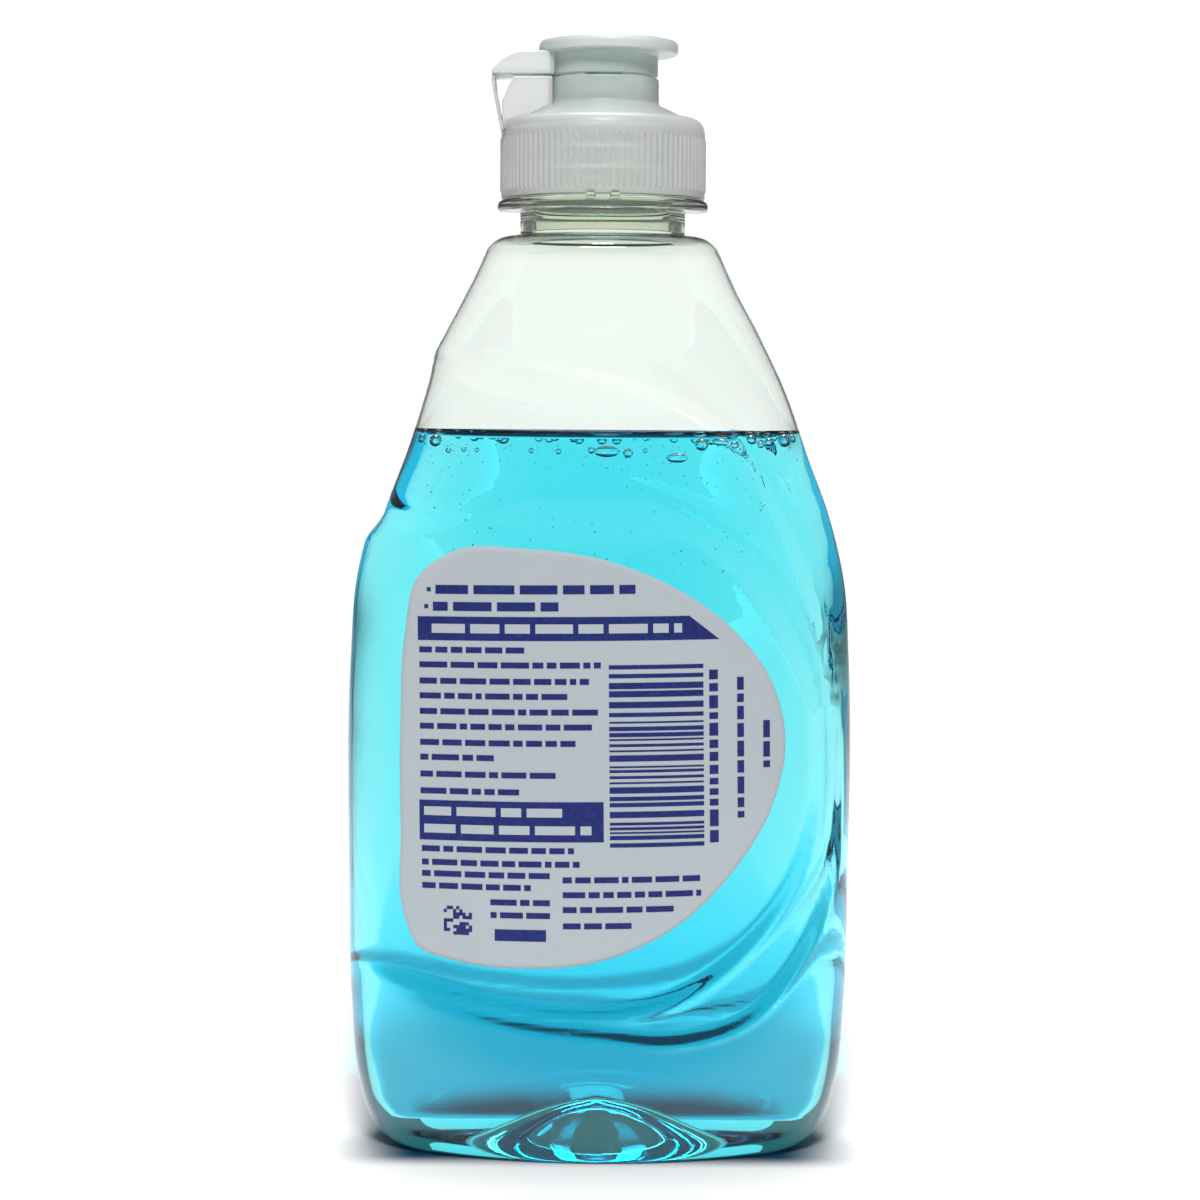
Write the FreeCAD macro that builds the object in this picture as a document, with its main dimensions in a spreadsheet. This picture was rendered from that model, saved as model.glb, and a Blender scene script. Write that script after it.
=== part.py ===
import FreeCAD, Part
import math
import os
import Sketcher
from FreeCAD import Matrix, Placement, Vector

# A dish soap bottle: a blown oval bottle with its soap and two labels, and a moulded flip-top closure.
# The origin is at the centre of the base, +Z is up, the broad faces look along Y and the hinge is at -X.

doc = FreeCAD.newDocument("soap_bottle")

# Driving dimensions in millimetres

SIZES = [
    # Blown body, from the base up: each station's height above the last one, full width and full depth
    ("foot_width", 65.0), ("foot_depth", 38.6),
    ("heel_step", 4.0), ("heel_width", 69.4), ("heel_depth", 39.2),
    ("flare_step", 6.0), ("flare_width", 72.4), ("flare_depth", 39.6),
    ("lower_step", 12.0), ("lower_width", 74.6), ("lower_depth", 39.9),
    ("middle_step", 18.0), ("middle_width", 75.6), ("middle_depth", 40.0),
    ("upper_step", 34.0), ("upper_width", 75.8), ("upper_depth", 40.0),
    ("bend_step", 12.0), ("bend_width", 73.6), ("bend_depth", 39.8),
    ("rise_step", 9.0), ("rise_width", 68.8), ("rise_depth", 39.3),
    ("slope_step", 10.0), ("slope_width", 61.2), ("slope_depth", 38.2),
    ("taper_step", 9.0), ("taper_width", 55.0), ("taper_depth", 36.6),
    ("crown_step", 8.0), ("crown_width", 47.6), ("crown_depth", 34.6),
    ("collar_step", 8.0), ("collar_width", 39.4), ("collar_depth", 32.6),
    ("shoulder_step", 7.3), ("shoulder_width", 33.0), ("shoulder_depth", 30.4),
    ("corner_angle", 60.0),
    ("wall", 0.5),
    ("foot_radius", 3.0),
    ("shoulder_radius", 2.2),
    ("push_up_width", 46.0),
    ("push_up_depth", 20.0),
    ("push_up_height", 7.5),
    # Label panel and the crescent terrace outside it
    ("panel_width", 72.0),
    ("panel_height", 80.0),
    ("panel_centre", 61.0),
    ("terrace_drop", 0.35),
    ("panel_drop", 0.75),
    # Neck finish
    ("neck_radius", 12.5),
    ("neck_wall", 1.7),
    ("neck_length", 3.7),
    ("ring_overhang", 0.6),
    ("ring_thickness", 1.7),
    ("finish_length", 10.3),
    ("bead_rise", 0.9),
    ("bead_width", 1.4),
    ("low_bead_height", 3.9),
    ("high_bead_height", 7.0),
    ("lug_spacing", 3.6),
    ("lug_width", 1.3),
    ("lug_length", 1.9),
    ("lug_height", 0.8),
    # Soap
    ("soap_depth", 106.8),
    ("soap_gap", 0.05),
    # Labels
    ("label_width", 57.1),
    ("label_height", 61.8),
    ("label_shift", -0.95),
    ("label_centre", 59.9),
    ("label_thickness", 0.15),
    ("label_gap", 0.1),
    ("front_label_margin", 3.0),
    # Closure
    ("skirt_gap", 0.3),
    ("bead_gap", 0.35),
    ("skirt_wall", 1.6),
    ("catch_height", 2.4),
    ("catch_width", 1.0),
    ("catch_rise", 0.2),
    ("lug_gap", 0.3),
    ("rib_count", 96),
    ("rib_rise", 0.15),
    ("rib_width", 0.55),
    ("rib_margin", 0.9),
    ("rib_length", 7.2),
    ("roof_gap", 0.3),
    ("deck_thickness", 1.8),
    ("deck_rounding", 2.6),
    ("deck_slope_width", 4.25),
    ("deck_slope_height", 2.0),
    ("seal_gap", 0.15),
    ("seal_wall", 0.9),
    ("seal_length", 2.3),
    ("roof_step", 0.6),
    ("tower_radius", 8.35),
    ("tower_length", 3.9),
    ("tower_wall", 1.2),
    ("cup_depth", 2.8),
    ("cup_wall", 1.3),
    ("orifice_radius", 1.6),
    ("nozzle_wall", 1.2),
    ("nozzle_length", 2.9),
    ("nozzle_foot_step", 2.2),
    ("nozzle_foot_length", 2.1),
    ("funnel_flare", 2.6),
    # Hinge
    ("hinge_reach", 16.7),
    ("hinge_width", 10.0),
    ("strap_thickness", 0.5),
    ("strap_tip_length", 1.1),
    ("strap_lean", 1.35),
    ("pedestal_reach", 15.1),
    ("pedestal_foot", 2.5),
    ("pedestal_cut_width", 1.6),
    ("pedestal_cut_height", 3.6),
    # Lid
    ("lid_gap", 0.3),
    ("lid_step", 0.15),
    ("lid_wall", 1.1),
    ("lid_length", 3.2),
    ("lid_roof", 1.3),
    ("lip_height", 0.6),
    ("arm_height", 3.5),
    ("arm_shoulder_width", 1.5),
    ("arm_shoulder_height", 2.2),
    ("arm_crest_width", 3.8),
    ("disc_radius", 10.5),
    ("disc_shift", 0.4),
    ("disc_thickness", 2.2),
    ("disc_rounding", 0.95),
    ("dome_radius", 9.4),
    ("dome_rise", 0.4),
    ("pin_gap", 0.3),
    ("pin_depth", 1.2),
]

# Sizes that follow from the driving ones

DERIVED = {
    "shoulder_height": "heel_step + flare_step + lower_step + middle_step + upper_step + bend_step + rise_step"
                       " + slope_step + taper_step + crown_step + collar_step + shoulder_step",
    "bore_radius": "neck_radius - neck_wall",
    "bead_radius": "neck_radius + bead_rise",
    "ring_bottom": "shoulder_height + neck_length",
    "ring_top": "ring_bottom + ring_thickness",
    "ring_radius": "skirt_radius + ring_overhang",
    "neck_top": "ring_top + finish_length",
    "low_bead": "ring_top + low_bead_height",
    "high_bead": "ring_top + high_bead_height",
    "skirt_foot": "ring_top + skirt_gap",
    "skirt_bore": "bead_radius + bead_gap",
    "skirt_radius": "skirt_bore + skirt_wall",
    "catch": "skirt_foot + catch_height",
    "roof": "neck_top + roof_gap",
    "deck": "roof + deck_thickness",
    "seal_radius": "bore_radius - seal_gap",
    "seal_bore": "seal_radius - seal_wall",
    "seal_tip": "neck_top - seal_length",
    "tower_foot": "deck + deck_slope_height",
    "tower_top": "tower_foot + tower_length",
    "tower_bore": "tower_radius - tower_wall",
    "cup_floor": "tower_top - cup_depth",
    "cup_roof": "cup_floor - cup_wall",
    "nozzle_radius": "orifice_radius + nozzle_wall",
    "nozzle_foot_radius": "nozzle_radius + nozzle_foot_step",
    "nozzle_foot_top": "cup_floor + nozzle_foot_length",
    "nozzle_top": "nozzle_foot_top + nozzle_length",
    "funnel_radius": "orifice_radius + funnel_flare",
    "pedestal_base": "deck - pedestal_foot",
    "lid_foot": "tower_top + lid_gap",
    "lid_radius": "tower_radius - lid_step",
    "lid_bore": "lid_radius - lid_wall",
    "arm_top": "lid_foot + arm_height",
    "disc_bottom": "lid_foot + lid_length",
    "disc_top": "disc_bottom + disc_thickness",
    "lid_roof_height": "disc_top - lid_roof",
    "pin_radius": "orifice_radius - pin_gap",
    "pin_tip": "nozzle_top - pin_depth",
}

sheet = doc.addObject("Spreadsheet::Sheet", "Sizes")
for row, (alias, value) in enumerate(SIZES, start=1):
    sheet.set("A%d" % row, alias)
    sheet.set("B%d" % row, str(value))
    sheet.setAlias("B%d" % row, alias)
doc.recompute()
NAMES = {alias for alias, value in SIZES}


def bind(formula):
    """The formula with every derived size worked out and every driving one as its cell."""
    words = []
    for word in formula.replace("(", " ( ").replace(")", " ) ").split():
        if word in DERIVED:
            words.append("( %s )" % bind(DERIVED[word]))
        elif word in NAMES:
            words.append("Sizes." + word)
        else:
            words.append(word)
    return " ".join(words)


def size(formula):
    """Value of a formula written with the names of sizes."""
    return float(sheet.evalExpression(bind(formula)))


# Outlines on the broad faces, front view, as shares of the half width and half height of the panel or label.
# The panel and the terrace run from the bottle's left side round the right side and back.

PANEL_OUTLINE = [
    (-1.04, -0.815), (-0.82, -0.875), (-0.41, -0.968), (0.0, -0.993), (0.32, -0.935), (0.605, -0.77),
    (0.845, -0.50), (0.95, -0.13), (0.942, 0.125), (0.833, 0.40), (0.65, 0.665), (0.367, 0.863),
    (0.0, 1.0), (-0.44, 1.075), (-1.04, 1.10),
]
TERRACE_OUTLINE = [
    (-1.04, -0.85), (-0.82, -0.91), (-0.41, -1.005), (0.0, -1.045), (0.333, -1.07), (0.617, -1.003),
    (0.839, -0.788), (0.967, -0.55), (1.011, -0.215), (0.997, 0.088), (0.922, 0.465), (0.786, 0.808),
    (0.567, 1.135), (0.22, 1.325), (-0.22, 1.425), (-0.75, 1.475),
]
LABEL_OUTLINE = [
    (-0.341, 1.0), (0.033, 0.955), (0.398, 0.828), (0.723, 0.618), (0.923, 0.372), (1.0, 0.091),
    (0.944, -0.204), (0.755, -0.508), (0.398, -0.819), (0.033, -0.961), (-0.341, -1.0), (-0.702, -0.977),
    (-0.905, -0.916), (-0.975, -0.773), (-0.996, -0.353), (-1.0, 0.165), (-0.979, 0.586), (-0.912, 0.858),
    (-0.737, 0.981),
]

# The two outer outlines end this far left of the middle, as a share of the panel's width: past the bottle's side
LEFT_SHARE = -0.65


def place_outline(shares, width, height, centre_x, centre_z, grow):
    """Corners in millimetres of an outline, each moved out from the centre by grow."""
    corners = []
    for x_share, z_share in shares:
        offset = Vector(x_share * width / 2, 0, z_share * height / 2)
        offset += Vector(offset).normalize() * grow
        corners.append(Vector(centre_x, 0, centre_z) + offset)
    return corners


def panel_prism(shares, grow):
    """Prism right through the bottle, open to its left side, inside a panel outline."""
    corners = place_outline(shares, size("panel_width"), size("panel_height"), 0.0, size("panel_centre"), grow)
    reach = size("upper_depth")
    corners = [corner + Vector(0, -reach, 0) for corner in corners]
    left = LEFT_SHARE * size("panel_width")
    low_corner = Vector(left, -reach, corners[0].z)
    high_corner = Vector(left, -reach, corners[-1].z)
    curve = Part.BSplineCurve()
    curve.interpolate(corners)
    edges = [
        Part.makeLine(low_corner, corners[0]),
        curve.toShape(),
        Part.makeLine(corners[-1], high_corner),
        Part.makeLine(high_corner, low_corner),
    ]
    return Part.Face(Part.Wire(edges)).extrude(Vector(0, 2 * reach, 0))


def label_prism(grow, side):
    """Prism inside the label's outline, from the bottle's middle out to the given side of Y."""
    corners = place_outline(LABEL_OUTLINE, size("label_width"), size("label_height"), size("label_shift"),
                            size("label_centre"), grow)
    curve = Part.BSplineCurve()
    curve.interpolate(corners, PeriodicFlag=True)
    return Part.Face(Part.Wire([curve.toShape()])).extrude(Vector(0, side * size("upper_depth"), 0))


# Blown bottle

STATIONS = ["foot", "heel", "flare", "lower", "middle", "upper", "bend", "rise", "slope", "taper", "crown",
            "collar", "shoulder"]
# Share of a recess's drop at each station. It is 1 where a station isn't named, and below 0 the recess is
# outside the body, so it has faded out.
PANEL_FADE = {"rise": 0.6, "slope": -0.4, "taper": -0.8, "crown": -0.8, "collar": -0.8, "shoulder": -0.8}
TERRACE_FADE = {"taper": 0.5, "crown": -0.8, "collar": -0.8, "shoulder": -0.8}


def oval(half_width, half_depth, height):
    """Closed wire of four tangent arcs; with equal halves it is a circle."""
    angle = math.radians(size("corner_angle"))
    slant = 1 / math.cos(angle) - math.tan(angle)
    end_radius = (half_depth - slant * half_width) / (1 - slant)
    broad_centre = (half_width - end_radius) * math.tan(angle)
    broad_radius = half_depth + broad_centre
    arcs = [
        (half_width - end_radius, 0.0, end_radius, -angle, angle),
        (0.0, -broad_centre, broad_radius, angle, math.pi - angle),
        (end_radius - half_width, 0.0, end_radius, math.pi - angle, math.pi + angle),
        (0.0, broad_centre, broad_radius, math.pi + angle, 2 * math.pi - angle),
    ]
    edges = []
    for x, y, radius, start, end in arcs:
        circle = Part.Circle(Vector(x, y, height), Vector(0, 0, 1), radius)
        edges.append(Part.Arc(circle, start, end).toShape())
    return Part.Wire(edges)


def body_loft(inset, drop=0.0, fade=None):
    """Solid through the stations, drawn in by inset plus each station's share of drop."""
    sections = []
    height = 0.0
    for station in STATIONS:
        if station != STATIONS[0]:
            height += size(station + "_step")
        share = 0.0 if fade is None else fade.get(station, 1.0)
        shrink = inset + share * drop
        end_lift = {STATIONS[0]: inset, STATIONS[-1]: -inset}.get(station, 0.0)
        half_width = size(station + "_width") / 2 - shrink
        half_depth = size(station + "_depth") / 2 - shrink
        sections.append(oval(half_width, half_depth, height + end_lift))
    return Part.makeLoft(sections, True, False)


def round_rim(solid, height, radius):
    """Fillet the edges of the flat face at the given height."""
    flat = [face for face in solid.Faces
            if face.BoundBox.ZLength < 1e-3 and abs(face.BoundBox.ZMin - height) < 1e-3]
    return solid.makeFillet(radius, flat[0].Edges)


def push_up(grow):
    """Domed hollow of the base, grown by the given thickness."""
    stretch = Matrix()
    stretch.scale(size("push_up_width") / 2 + grow, size("push_up_depth") / 2 + grow,
                  size("push_up_height") + grow)
    return Part.makeSphere(1.0).transformGeometry(stretch)


def blown_form(inset):
    """The bottle's body drawn in by inset: 0 is its outside and the wall's thickness its inside."""
    form = body_loft(inset)
    form = round_rim(form, inset, size("foot_radius") - inset)
    form = round_rim(form, size("shoulder_height") - inset, size("shoulder_radius") - inset)
    recesses = [
        (TERRACE_OUTLINE, size("terrace_drop"), TERRACE_FADE),
        (PANEL_OUTLINE, size("panel_drop"), PANEL_FADE),
    ]
    for shares, drop, fade in recesses:
        prism = panel_prism(shares, inset)
        form = form.cut(prism.cut(body_loft(inset, drop, fade)))
    return form.cut(push_up(inset))


def add_feature(name, shape):
    """Finished shape as an object of the document, with its label and placement."""
    feature = doc.addObject("Part::Feature", name)
    feature.Label = name
    feature.Shape = shape
    feature.Placement = Placement()
    return feature


bore = Part.makeCylinder(size("bore_radius"), size("3 * wall"), Vector(0, 0, size("shoulder_height - 2 * wall")))
skins = [blown_form(0.0).Shells[0], blown_form(size("wall")).Shells[0].reversed()]
blown_body = add_feature("blown_body", Part.makeSolid(Part.makeCompound(skins)).cut(bore))


# Soap: fills the bottle's inside up to its level

soap_form = blown_form(size("wall + soap_gap"))
soap_box = Part.makeBox(size("2 * upper_width"), size("2 * upper_depth"), size("soap_depth"),
                        Vector(-size("upper_width"), -size("upper_depth"), 0))
liquid = add_feature("liquid", soap_form.common(soap_box))


# Labels: a film on the floor of each panel

def label(name, grow, side):
    """Label on the broad face on one side of Y, its outline grown by the given amount."""
    floor = body_loft(-size("label_gap"), size("panel_drop"), PANEL_FADE)
    patch = floor.Shells[0].common(label_prism(grow, side))
    films = patch.extrude(Vector(0, side * size("label_thickness"), 0)).Solids
    film = films[0].multiFuse(films[1:]) if len(films) > 1 else films[0]
    return add_feature(name, film)


back_label = label("back_label", 0.0, -1)
front_label = label("front_label", -size("front_label_margin"), 1)


# Sketches and features

def origin_plane(body, role):
    """The body's own origin plane with the given role."""
    return [feature for feature in body.Origin.OriginFeatures if feature.Role == role][0]


def new_body(name):
    """Empty body whose label is its name."""
    body = doc.addObject("PartDesign::Body", name)
    body.Label = name
    body.Placement = Placement()
    return body


def new_sketch(body, name, role, height="0"):
    """Sketch on one of the body's origin planes, moved along its normal by a formula."""
    sketch = body.newObject("Sketcher::SketchObject", name)
    sketch.AttachmentSupport = [(origin_plane(body, role), "")]
    sketch.MapMode = "FlatFace"
    sketch.setExpression("AttachmentOffset.Base.z", bind(height))
    return sketch


def constrain(sketch, kind, *place, formula):
    """Constraint of a sketch whose value is bound to a formula."""
    number = sketch.addConstraint(Sketcher.Constraint(kind, *place, size(formula)))
    sketch.setExpression("Constraints[%d]" % number, bind(formula))


def draw_polygon(sketch, corners):
    """Closed polygon whose corners are pairs of formulas."""
    start = len(sketch.Geometry)
    places = [Vector(size(x), size(y), 0) for x, y in corners]
    for place, next_place in zip(places, places[1:] + places[:1]):
        sketch.addGeometry(Part.LineSegment(place, next_place), False)
    for index, (x, y) in enumerate(corners):
        following = start + (index + 1) % len(corners)
        sketch.addConstraint(Sketcher.Constraint("Coincident", start + index, 2, following, 1))
        constrain(sketch, "DistanceX", -1, 1, start + index, 1, formula=x)
        constrain(sketch, "DistanceY", -1, 1, start + index, 1, formula=y)


def turn(body, name, kind, corners):
    """Revolution or Groove of an XZ profile about the vertical axis."""
    sketch = new_sketch(body, name + "_profile", "XZ_Plane")
    draw_polygon(sketch, corners)
    feature = body.newObject("PartDesign::" + kind, name)
    feature.Profile = sketch
    feature.ReferenceAxis = (sketch, ["V_Axis"])
    feature.Angle = 360
    doc.recompute()
    return feature


def pad_across(body, name, corners, width):
    """Pad of an XZ profile by half its width to each side."""
    sketch = new_sketch(body, name + "_profile", "XZ_Plane")
    draw_polygon(sketch, corners)
    feature = body.newObject("PartDesign::Pad", name)
    feature.Profile = sketch
    feature.SideType = "Symmetric"
    feature.setExpression("Length", bind(width))
    doc.recompute()
    return feature


def lift(body, name, kind, sketch, length):
    """Pad or Pocket of a level sketch upwards by a length."""
    feature = body.newObject("PartDesign::" + kind, name)
    feature.Profile = sketch
    feature.setExpression("Length", bind(length))
    feature.Reversed = kind == "Pocket"
    doc.recompute()
    return feature


def round_edges(body, name, radius, rims):
    """Fillet of the body's circular edges at the given heights and radii, both formulas."""
    base = body.Tip
    edges = []
    for number, edge in enumerate(base.Shape.Edges, start=1):
        for height, edge_radius in rims:
            round_edge = isinstance(edge.Curve, Part.Circle) and abs(edge.Curve.Radius - size(edge_radius)) < 1e-3
            if round_edge and abs(edge.Curve.Center.z - size(height)) < 1e-3:
                edges.append("Edge%d" % number)
    feature = body.newObject("PartDesign::Fillet", name)
    feature.Base = (base, edges)
    feature.setExpression("Radius", bind(radius))
    doc.recompute()
    return feature


def lug_corners(middle, margin):
    """Rectangle of an orientation lug about its middle, with a margin all round it."""
    left = "%s - lug_width / 2 - %s" % (middle, margin)
    right = "%s + lug_width / 2 + %s" % (middle, margin)
    outer = "- ring_radius - %s" % margin
    inner = "lug_length - ring_radius + %s" % margin
    return [(left, outer), (right, outer), (right, inner), (left, inner)]


LUG_MIDDLES = ["- lug_spacing / 2", "lug_spacing / 2"]


# Neck finish: tube, support ring, two snap beads and two orientation lugs

def bead(height):
    """Profile corners of a rounded snap bead, from its foot up."""
    return [
        ("neck_radius", "%s - bead_width / 2" % height),
        ("bead_radius", "%s - bead_width / 6" % height),
        ("bead_radius", "%s + bead_width / 6" % height),
        ("neck_radius", "%s + bead_width / 2" % height),
    ]


neck = new_body("neck_finish")
neck_profile = [
    ("bore_radius", "shoulder_height - wall"),
    ("neck_radius", "shoulder_height - wall"),
    ("neck_radius", "ring_bottom"),
    ("ring_radius", "ring_bottom"),
    ("ring_radius", "ring_top"),
    ("neck_radius", "ring_top"),
]
neck_profile += bead("low_bead") + bead("high_bead")
neck_profile += [("neck_radius", "neck_top"), ("bore_radius", "neck_top")]
turn(neck, "neck_tube", "Revolution", neck_profile)
for number, middle in enumerate(LUG_MIDDLES, start=1):
    lug_sketch = new_sketch(neck, "lug_sketch_%d" % number, "XY_Plane", "ring_top")
    draw_polygon(lug_sketch, lug_corners(middle, "0"))
    lift(neck, "lug_%d" % number, "Pad", lug_sketch, "lug_height")

bottle = doc.addObject("Part::MultiFuse", "bottle")
bottle.Label = "bottle"
bottle.Shapes = [blown_body, neck]
doc.recompute()


# Closure body: skirt, deck, tower with its nozzle, hinge pedestal and lower strap

closure = new_body("closure_body")
turn(closure, "outside", "Revolution", [
    ("0", "skirt_foot"),
    ("skirt_radius", "skirt_foot"),
    ("skirt_radius", "deck"),
    ("tower_radius + deck_slope_width", "deck"),
    ("tower_radius", "tower_foot"),
    ("tower_radius", "tower_top"),
    ("nozzle_radius", "tower_top"),
    ("nozzle_radius", "nozzle_top"),
    ("0", "nozzle_top"),
])
round_edges(closure, "deck_edge", "deck_rounding", [("deck", "skirt_radius")])
pad_across(closure, "hinge_pedestal", [
    ("- pedestal_reach", "pedestal_base"),
    ("- pedestal_reach", "tower_top - pedestal_cut_height"),
    ("pedestal_cut_width - pedestal_reach", "tower_top"),
    ("- tower_bore / 2", "tower_top"),
    ("- tower_bore / 2", "pedestal_base"),
], "hinge_width")
pad_across(closure, "lower_strap", [
    ("strap_lean - hinge_reach", "pedestal_base"),
    ("- hinge_reach", "tower_top - strap_tip_length"),
    ("- hinge_reach", "tower_top"),
    ("strap_thickness - hinge_reach", "tower_top"),
    ("strap_thickness - hinge_reach", "tower_top - strap_tip_length"),
    ("strap_thickness + strap_lean - hinge_reach", "pedestal_base"),
], "hinge_width")
turn(closure, "cup", "Groove", [
    ("nozzle_radius", "nozzle_top"),
    ("tower_bore", "nozzle_top"),
    ("tower_bore", "cup_floor"),
    ("nozzle_foot_radius", "cup_floor"),
    ("nozzle_foot_radius", "nozzle_foot_top"),
    ("nozzle_radius", "nozzle_foot_top"),
])
turn(closure, "inside", "Groove", [
    ("0", "skirt_foot - skirt_gap"),
    ("skirt_bore", "skirt_foot - skirt_gap"),
    ("skirt_bore", "catch - catch_width / 2"),
    ("skirt_bore - catch_rise", "catch"),
    ("skirt_bore", "catch + catch_width / 2"),
    ("skirt_bore", "roof"),
    ("seal_radius", "roof"),
    ("seal_radius", "seal_tip"),
    ("seal_bore", "seal_tip"),
    ("seal_bore", "roof + roof_step"),
    ("tower_bore", "cup_roof"),
    ("funnel_radius", "cup_roof"),
    ("orifice_radius", "cup_floor"),
    ("orifice_radius", "nozzle_top + lid_gap"),
    ("0", "nozzle_top + lid_gap"),
])
for number, middle in enumerate(LUG_MIDDLES, start=1):
    slot_sketch = new_sketch(closure, "slot_sketch_%d" % number, "XY_Plane", "ring_top")
    draw_polygon(slot_sketch, lug_corners(middle, "lug_gap"))
    lift(closure, "slot_%d" % number, "Pocket", slot_sketch, "lug_height + lug_gap")
rib_sketch = new_sketch(closure, "rib_sketch", "XY_Plane", "skirt_foot + rib_margin")
draw_polygon(rib_sketch, [
    ("skirt_radius - rib_rise", "rib_width / 2"),
    ("skirt_radius - rib_rise", "- rib_width / 2"),
    ("skirt_radius + rib_rise", "0"),
])
rib = lift(closure, "rib", "Pad", rib_sketch, "rib_length")
ribs = closure.newObject("PartDesign::PolarPattern", "ribs")
ribs.Originals = [rib]
ribs.Axis = (rib_sketch, ["N_Axis"])
ribs.Angle = 360
ribs.setExpression("Occurrences", bind("rib_count"))
closure.Tip = ribs
doc.recompute()


# Lid: short cylinder, disc with a rounded rim, hinge arm and sealing pin

lid = new_body("lid")
disc_sketch = new_sketch(lid, "disc_sketch", "XY_Plane", "disc_bottom")
disc_circle = Part.Circle(Vector(size("disc_shift"), 0, 0), Vector(0, 0, 1), size("disc_radius"))
disc_sketch.addGeometry(disc_circle, False)
disc_sketch.addConstraint(Sketcher.Constraint("PointOnObject", 0, 3, -1))
constrain(disc_sketch, "DistanceX", -1, 1, 0, 3, formula="disc_shift")
constrain(disc_sketch, "Radius", 0, formula="disc_radius")
lift(lid, "disc", "Pad", disc_sketch, "disc_thickness")
round_edges(lid, "disc_rim", "disc_rounding", [("disc_top", "disc_radius"), ("disc_bottom", "disc_radius")])
turn(lid, "lid_cylinder", "Revolution", [
    ("0", "lid_foot"),
    ("lid_radius", "lid_foot"),
    ("lid_radius", "disc_top - disc_rounding"),
    ("0", "disc_top - disc_rounding"),
])
pad_across(lid, "hinge_arm", [
    ("- hinge_reach", "lid_foot"),
    ("- hinge_reach", "lid_foot + lip_height"),
    ("arm_shoulder_width - hinge_reach", "lid_foot + arm_shoulder_height"),
    ("arm_crest_width - hinge_reach", "arm_top"),
    ("- lid_bore / 2", "arm_top"),
    ("- lid_bore / 2", "lid_foot"),
], "hinge_width")
turn(lid, "dome", "Revolution", [
    ("0", "lid_roof_height"),
    ("dome_radius", "lid_roof_height"),
    ("dome_radius", "disc_top"),
    ("dome_radius / 2", "disc_top + 0.75 * dome_rise"),
    ("0", "disc_top + dome_rise"),
])
turn(lid, "hollow", "Groove", [
    ("pin_radius", "lid_foot - lid_gap"),
    ("lid_bore", "lid_foot - lid_gap"),
    ("lid_bore", "lid_roof_height"),
    ("pin_radius", "lid_roof_height"),
])
turn(lid, "pin_end", "Groove", [
    ("0", "lid_foot - lid_gap"),
    ("pin_radius", "lid_foot - lid_gap"),
    ("pin_radius", "pin_tip"),
    ("0", "pin_tip"),
])


# Every object is sound and every sub-part is one whole solid before anything is written

doc.recompute()
for item in doc.Objects:
    if "Invalid" in item.State or "Error" in item.State:
        raise RuntimeError("%s failed: %s" % (item.Label, item.State))

PARTS = [bottle, liquid, back_label, front_label, closure, lid]
for part in PARTS:
    if part.Shape.isNull() or not part.Shape.isValid() or len(part.Shape.Solids) != 1:
        raise RuntimeError("%s is not one valid solid" % part.Label)

os.makedirs("parts", exist_ok=True)
for part in PARTS:
    part.Shape.exportStep(os.path.join("parts", part.Label + ".step"))
    print("%s: %.1f mm3" % (part.Label, part.Shape.Volume))
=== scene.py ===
import bpy
import math
import numpy as np
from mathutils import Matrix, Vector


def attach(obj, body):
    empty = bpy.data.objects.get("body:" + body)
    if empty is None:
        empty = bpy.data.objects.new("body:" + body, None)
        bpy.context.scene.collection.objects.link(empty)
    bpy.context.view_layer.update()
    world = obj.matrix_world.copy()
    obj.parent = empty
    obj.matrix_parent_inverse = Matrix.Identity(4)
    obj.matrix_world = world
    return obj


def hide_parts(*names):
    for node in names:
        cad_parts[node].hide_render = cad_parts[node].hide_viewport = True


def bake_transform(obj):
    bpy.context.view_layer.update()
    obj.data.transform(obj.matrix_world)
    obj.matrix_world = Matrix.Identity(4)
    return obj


# A dish soap bottle in the order it is put together: bottle, soap, labels, closure, lid and hinge strap.
# Sizes are in millimetres as in the part's own drawing, and MM turns them to metres.

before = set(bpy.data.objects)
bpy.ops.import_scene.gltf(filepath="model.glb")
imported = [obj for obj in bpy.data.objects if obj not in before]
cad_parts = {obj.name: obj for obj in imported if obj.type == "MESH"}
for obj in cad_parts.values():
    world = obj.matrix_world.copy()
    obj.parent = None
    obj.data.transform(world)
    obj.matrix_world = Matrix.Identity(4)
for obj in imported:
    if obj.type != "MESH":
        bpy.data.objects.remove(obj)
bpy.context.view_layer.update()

MM = 0.001


# Studio
# A pale paper floor with a painted shadow and painted shade on it, a bright backdrop behind it, one soft
# light overhead and a second one high behind the camera. The room beside the backdrop is dim, which gives
# clear plastic its darker edges.

def linear(code):
    """Linear colour of an sRGB hex value such as 5BE6FA, with alpha 1."""
    shares = np.array([int(code[i:i + 2], 16) for i in (0, 2, 4)]) / 255
    values = np.where(shares <= 0.04045, shares / 12.92, ((shares + 0.055) / 1.055) ** 2.4)
    return (*values.tolist(), 1.0)


def new_material(name):
    """Empty material of that name, with its node tree and its output node."""
    material = bpy.data.materials.new(name)
    material.use_nodes = True
    material.node_tree.nodes.clear()
    output = material.node_tree.nodes.new("ShaderNodeOutputMaterial")
    return material, material.node_tree, output


def add_node(tree, kind, inputs=None, **settings):
    """One node with its settings; each input, by name or number, takes a value or another node's output."""
    made = tree.nodes.new("ShaderNode" + kind)
    for setting, value in settings.items():
        setattr(made, setting, value)
    for socket, value in (inputs or {}).items():
        if isinstance(value, bpy.types.NodeSocket):
            tree.links.new(value, made.inputs[socket])
        else:
            made.inputs[socket].default_value = value
    return made


def add_object(name, data):
    """Object of that name and data in the scene, at the origin."""
    made = bpy.data.objects.new(name, data)
    bpy.context.scene.collection.objects.link(made)
    return made
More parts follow.
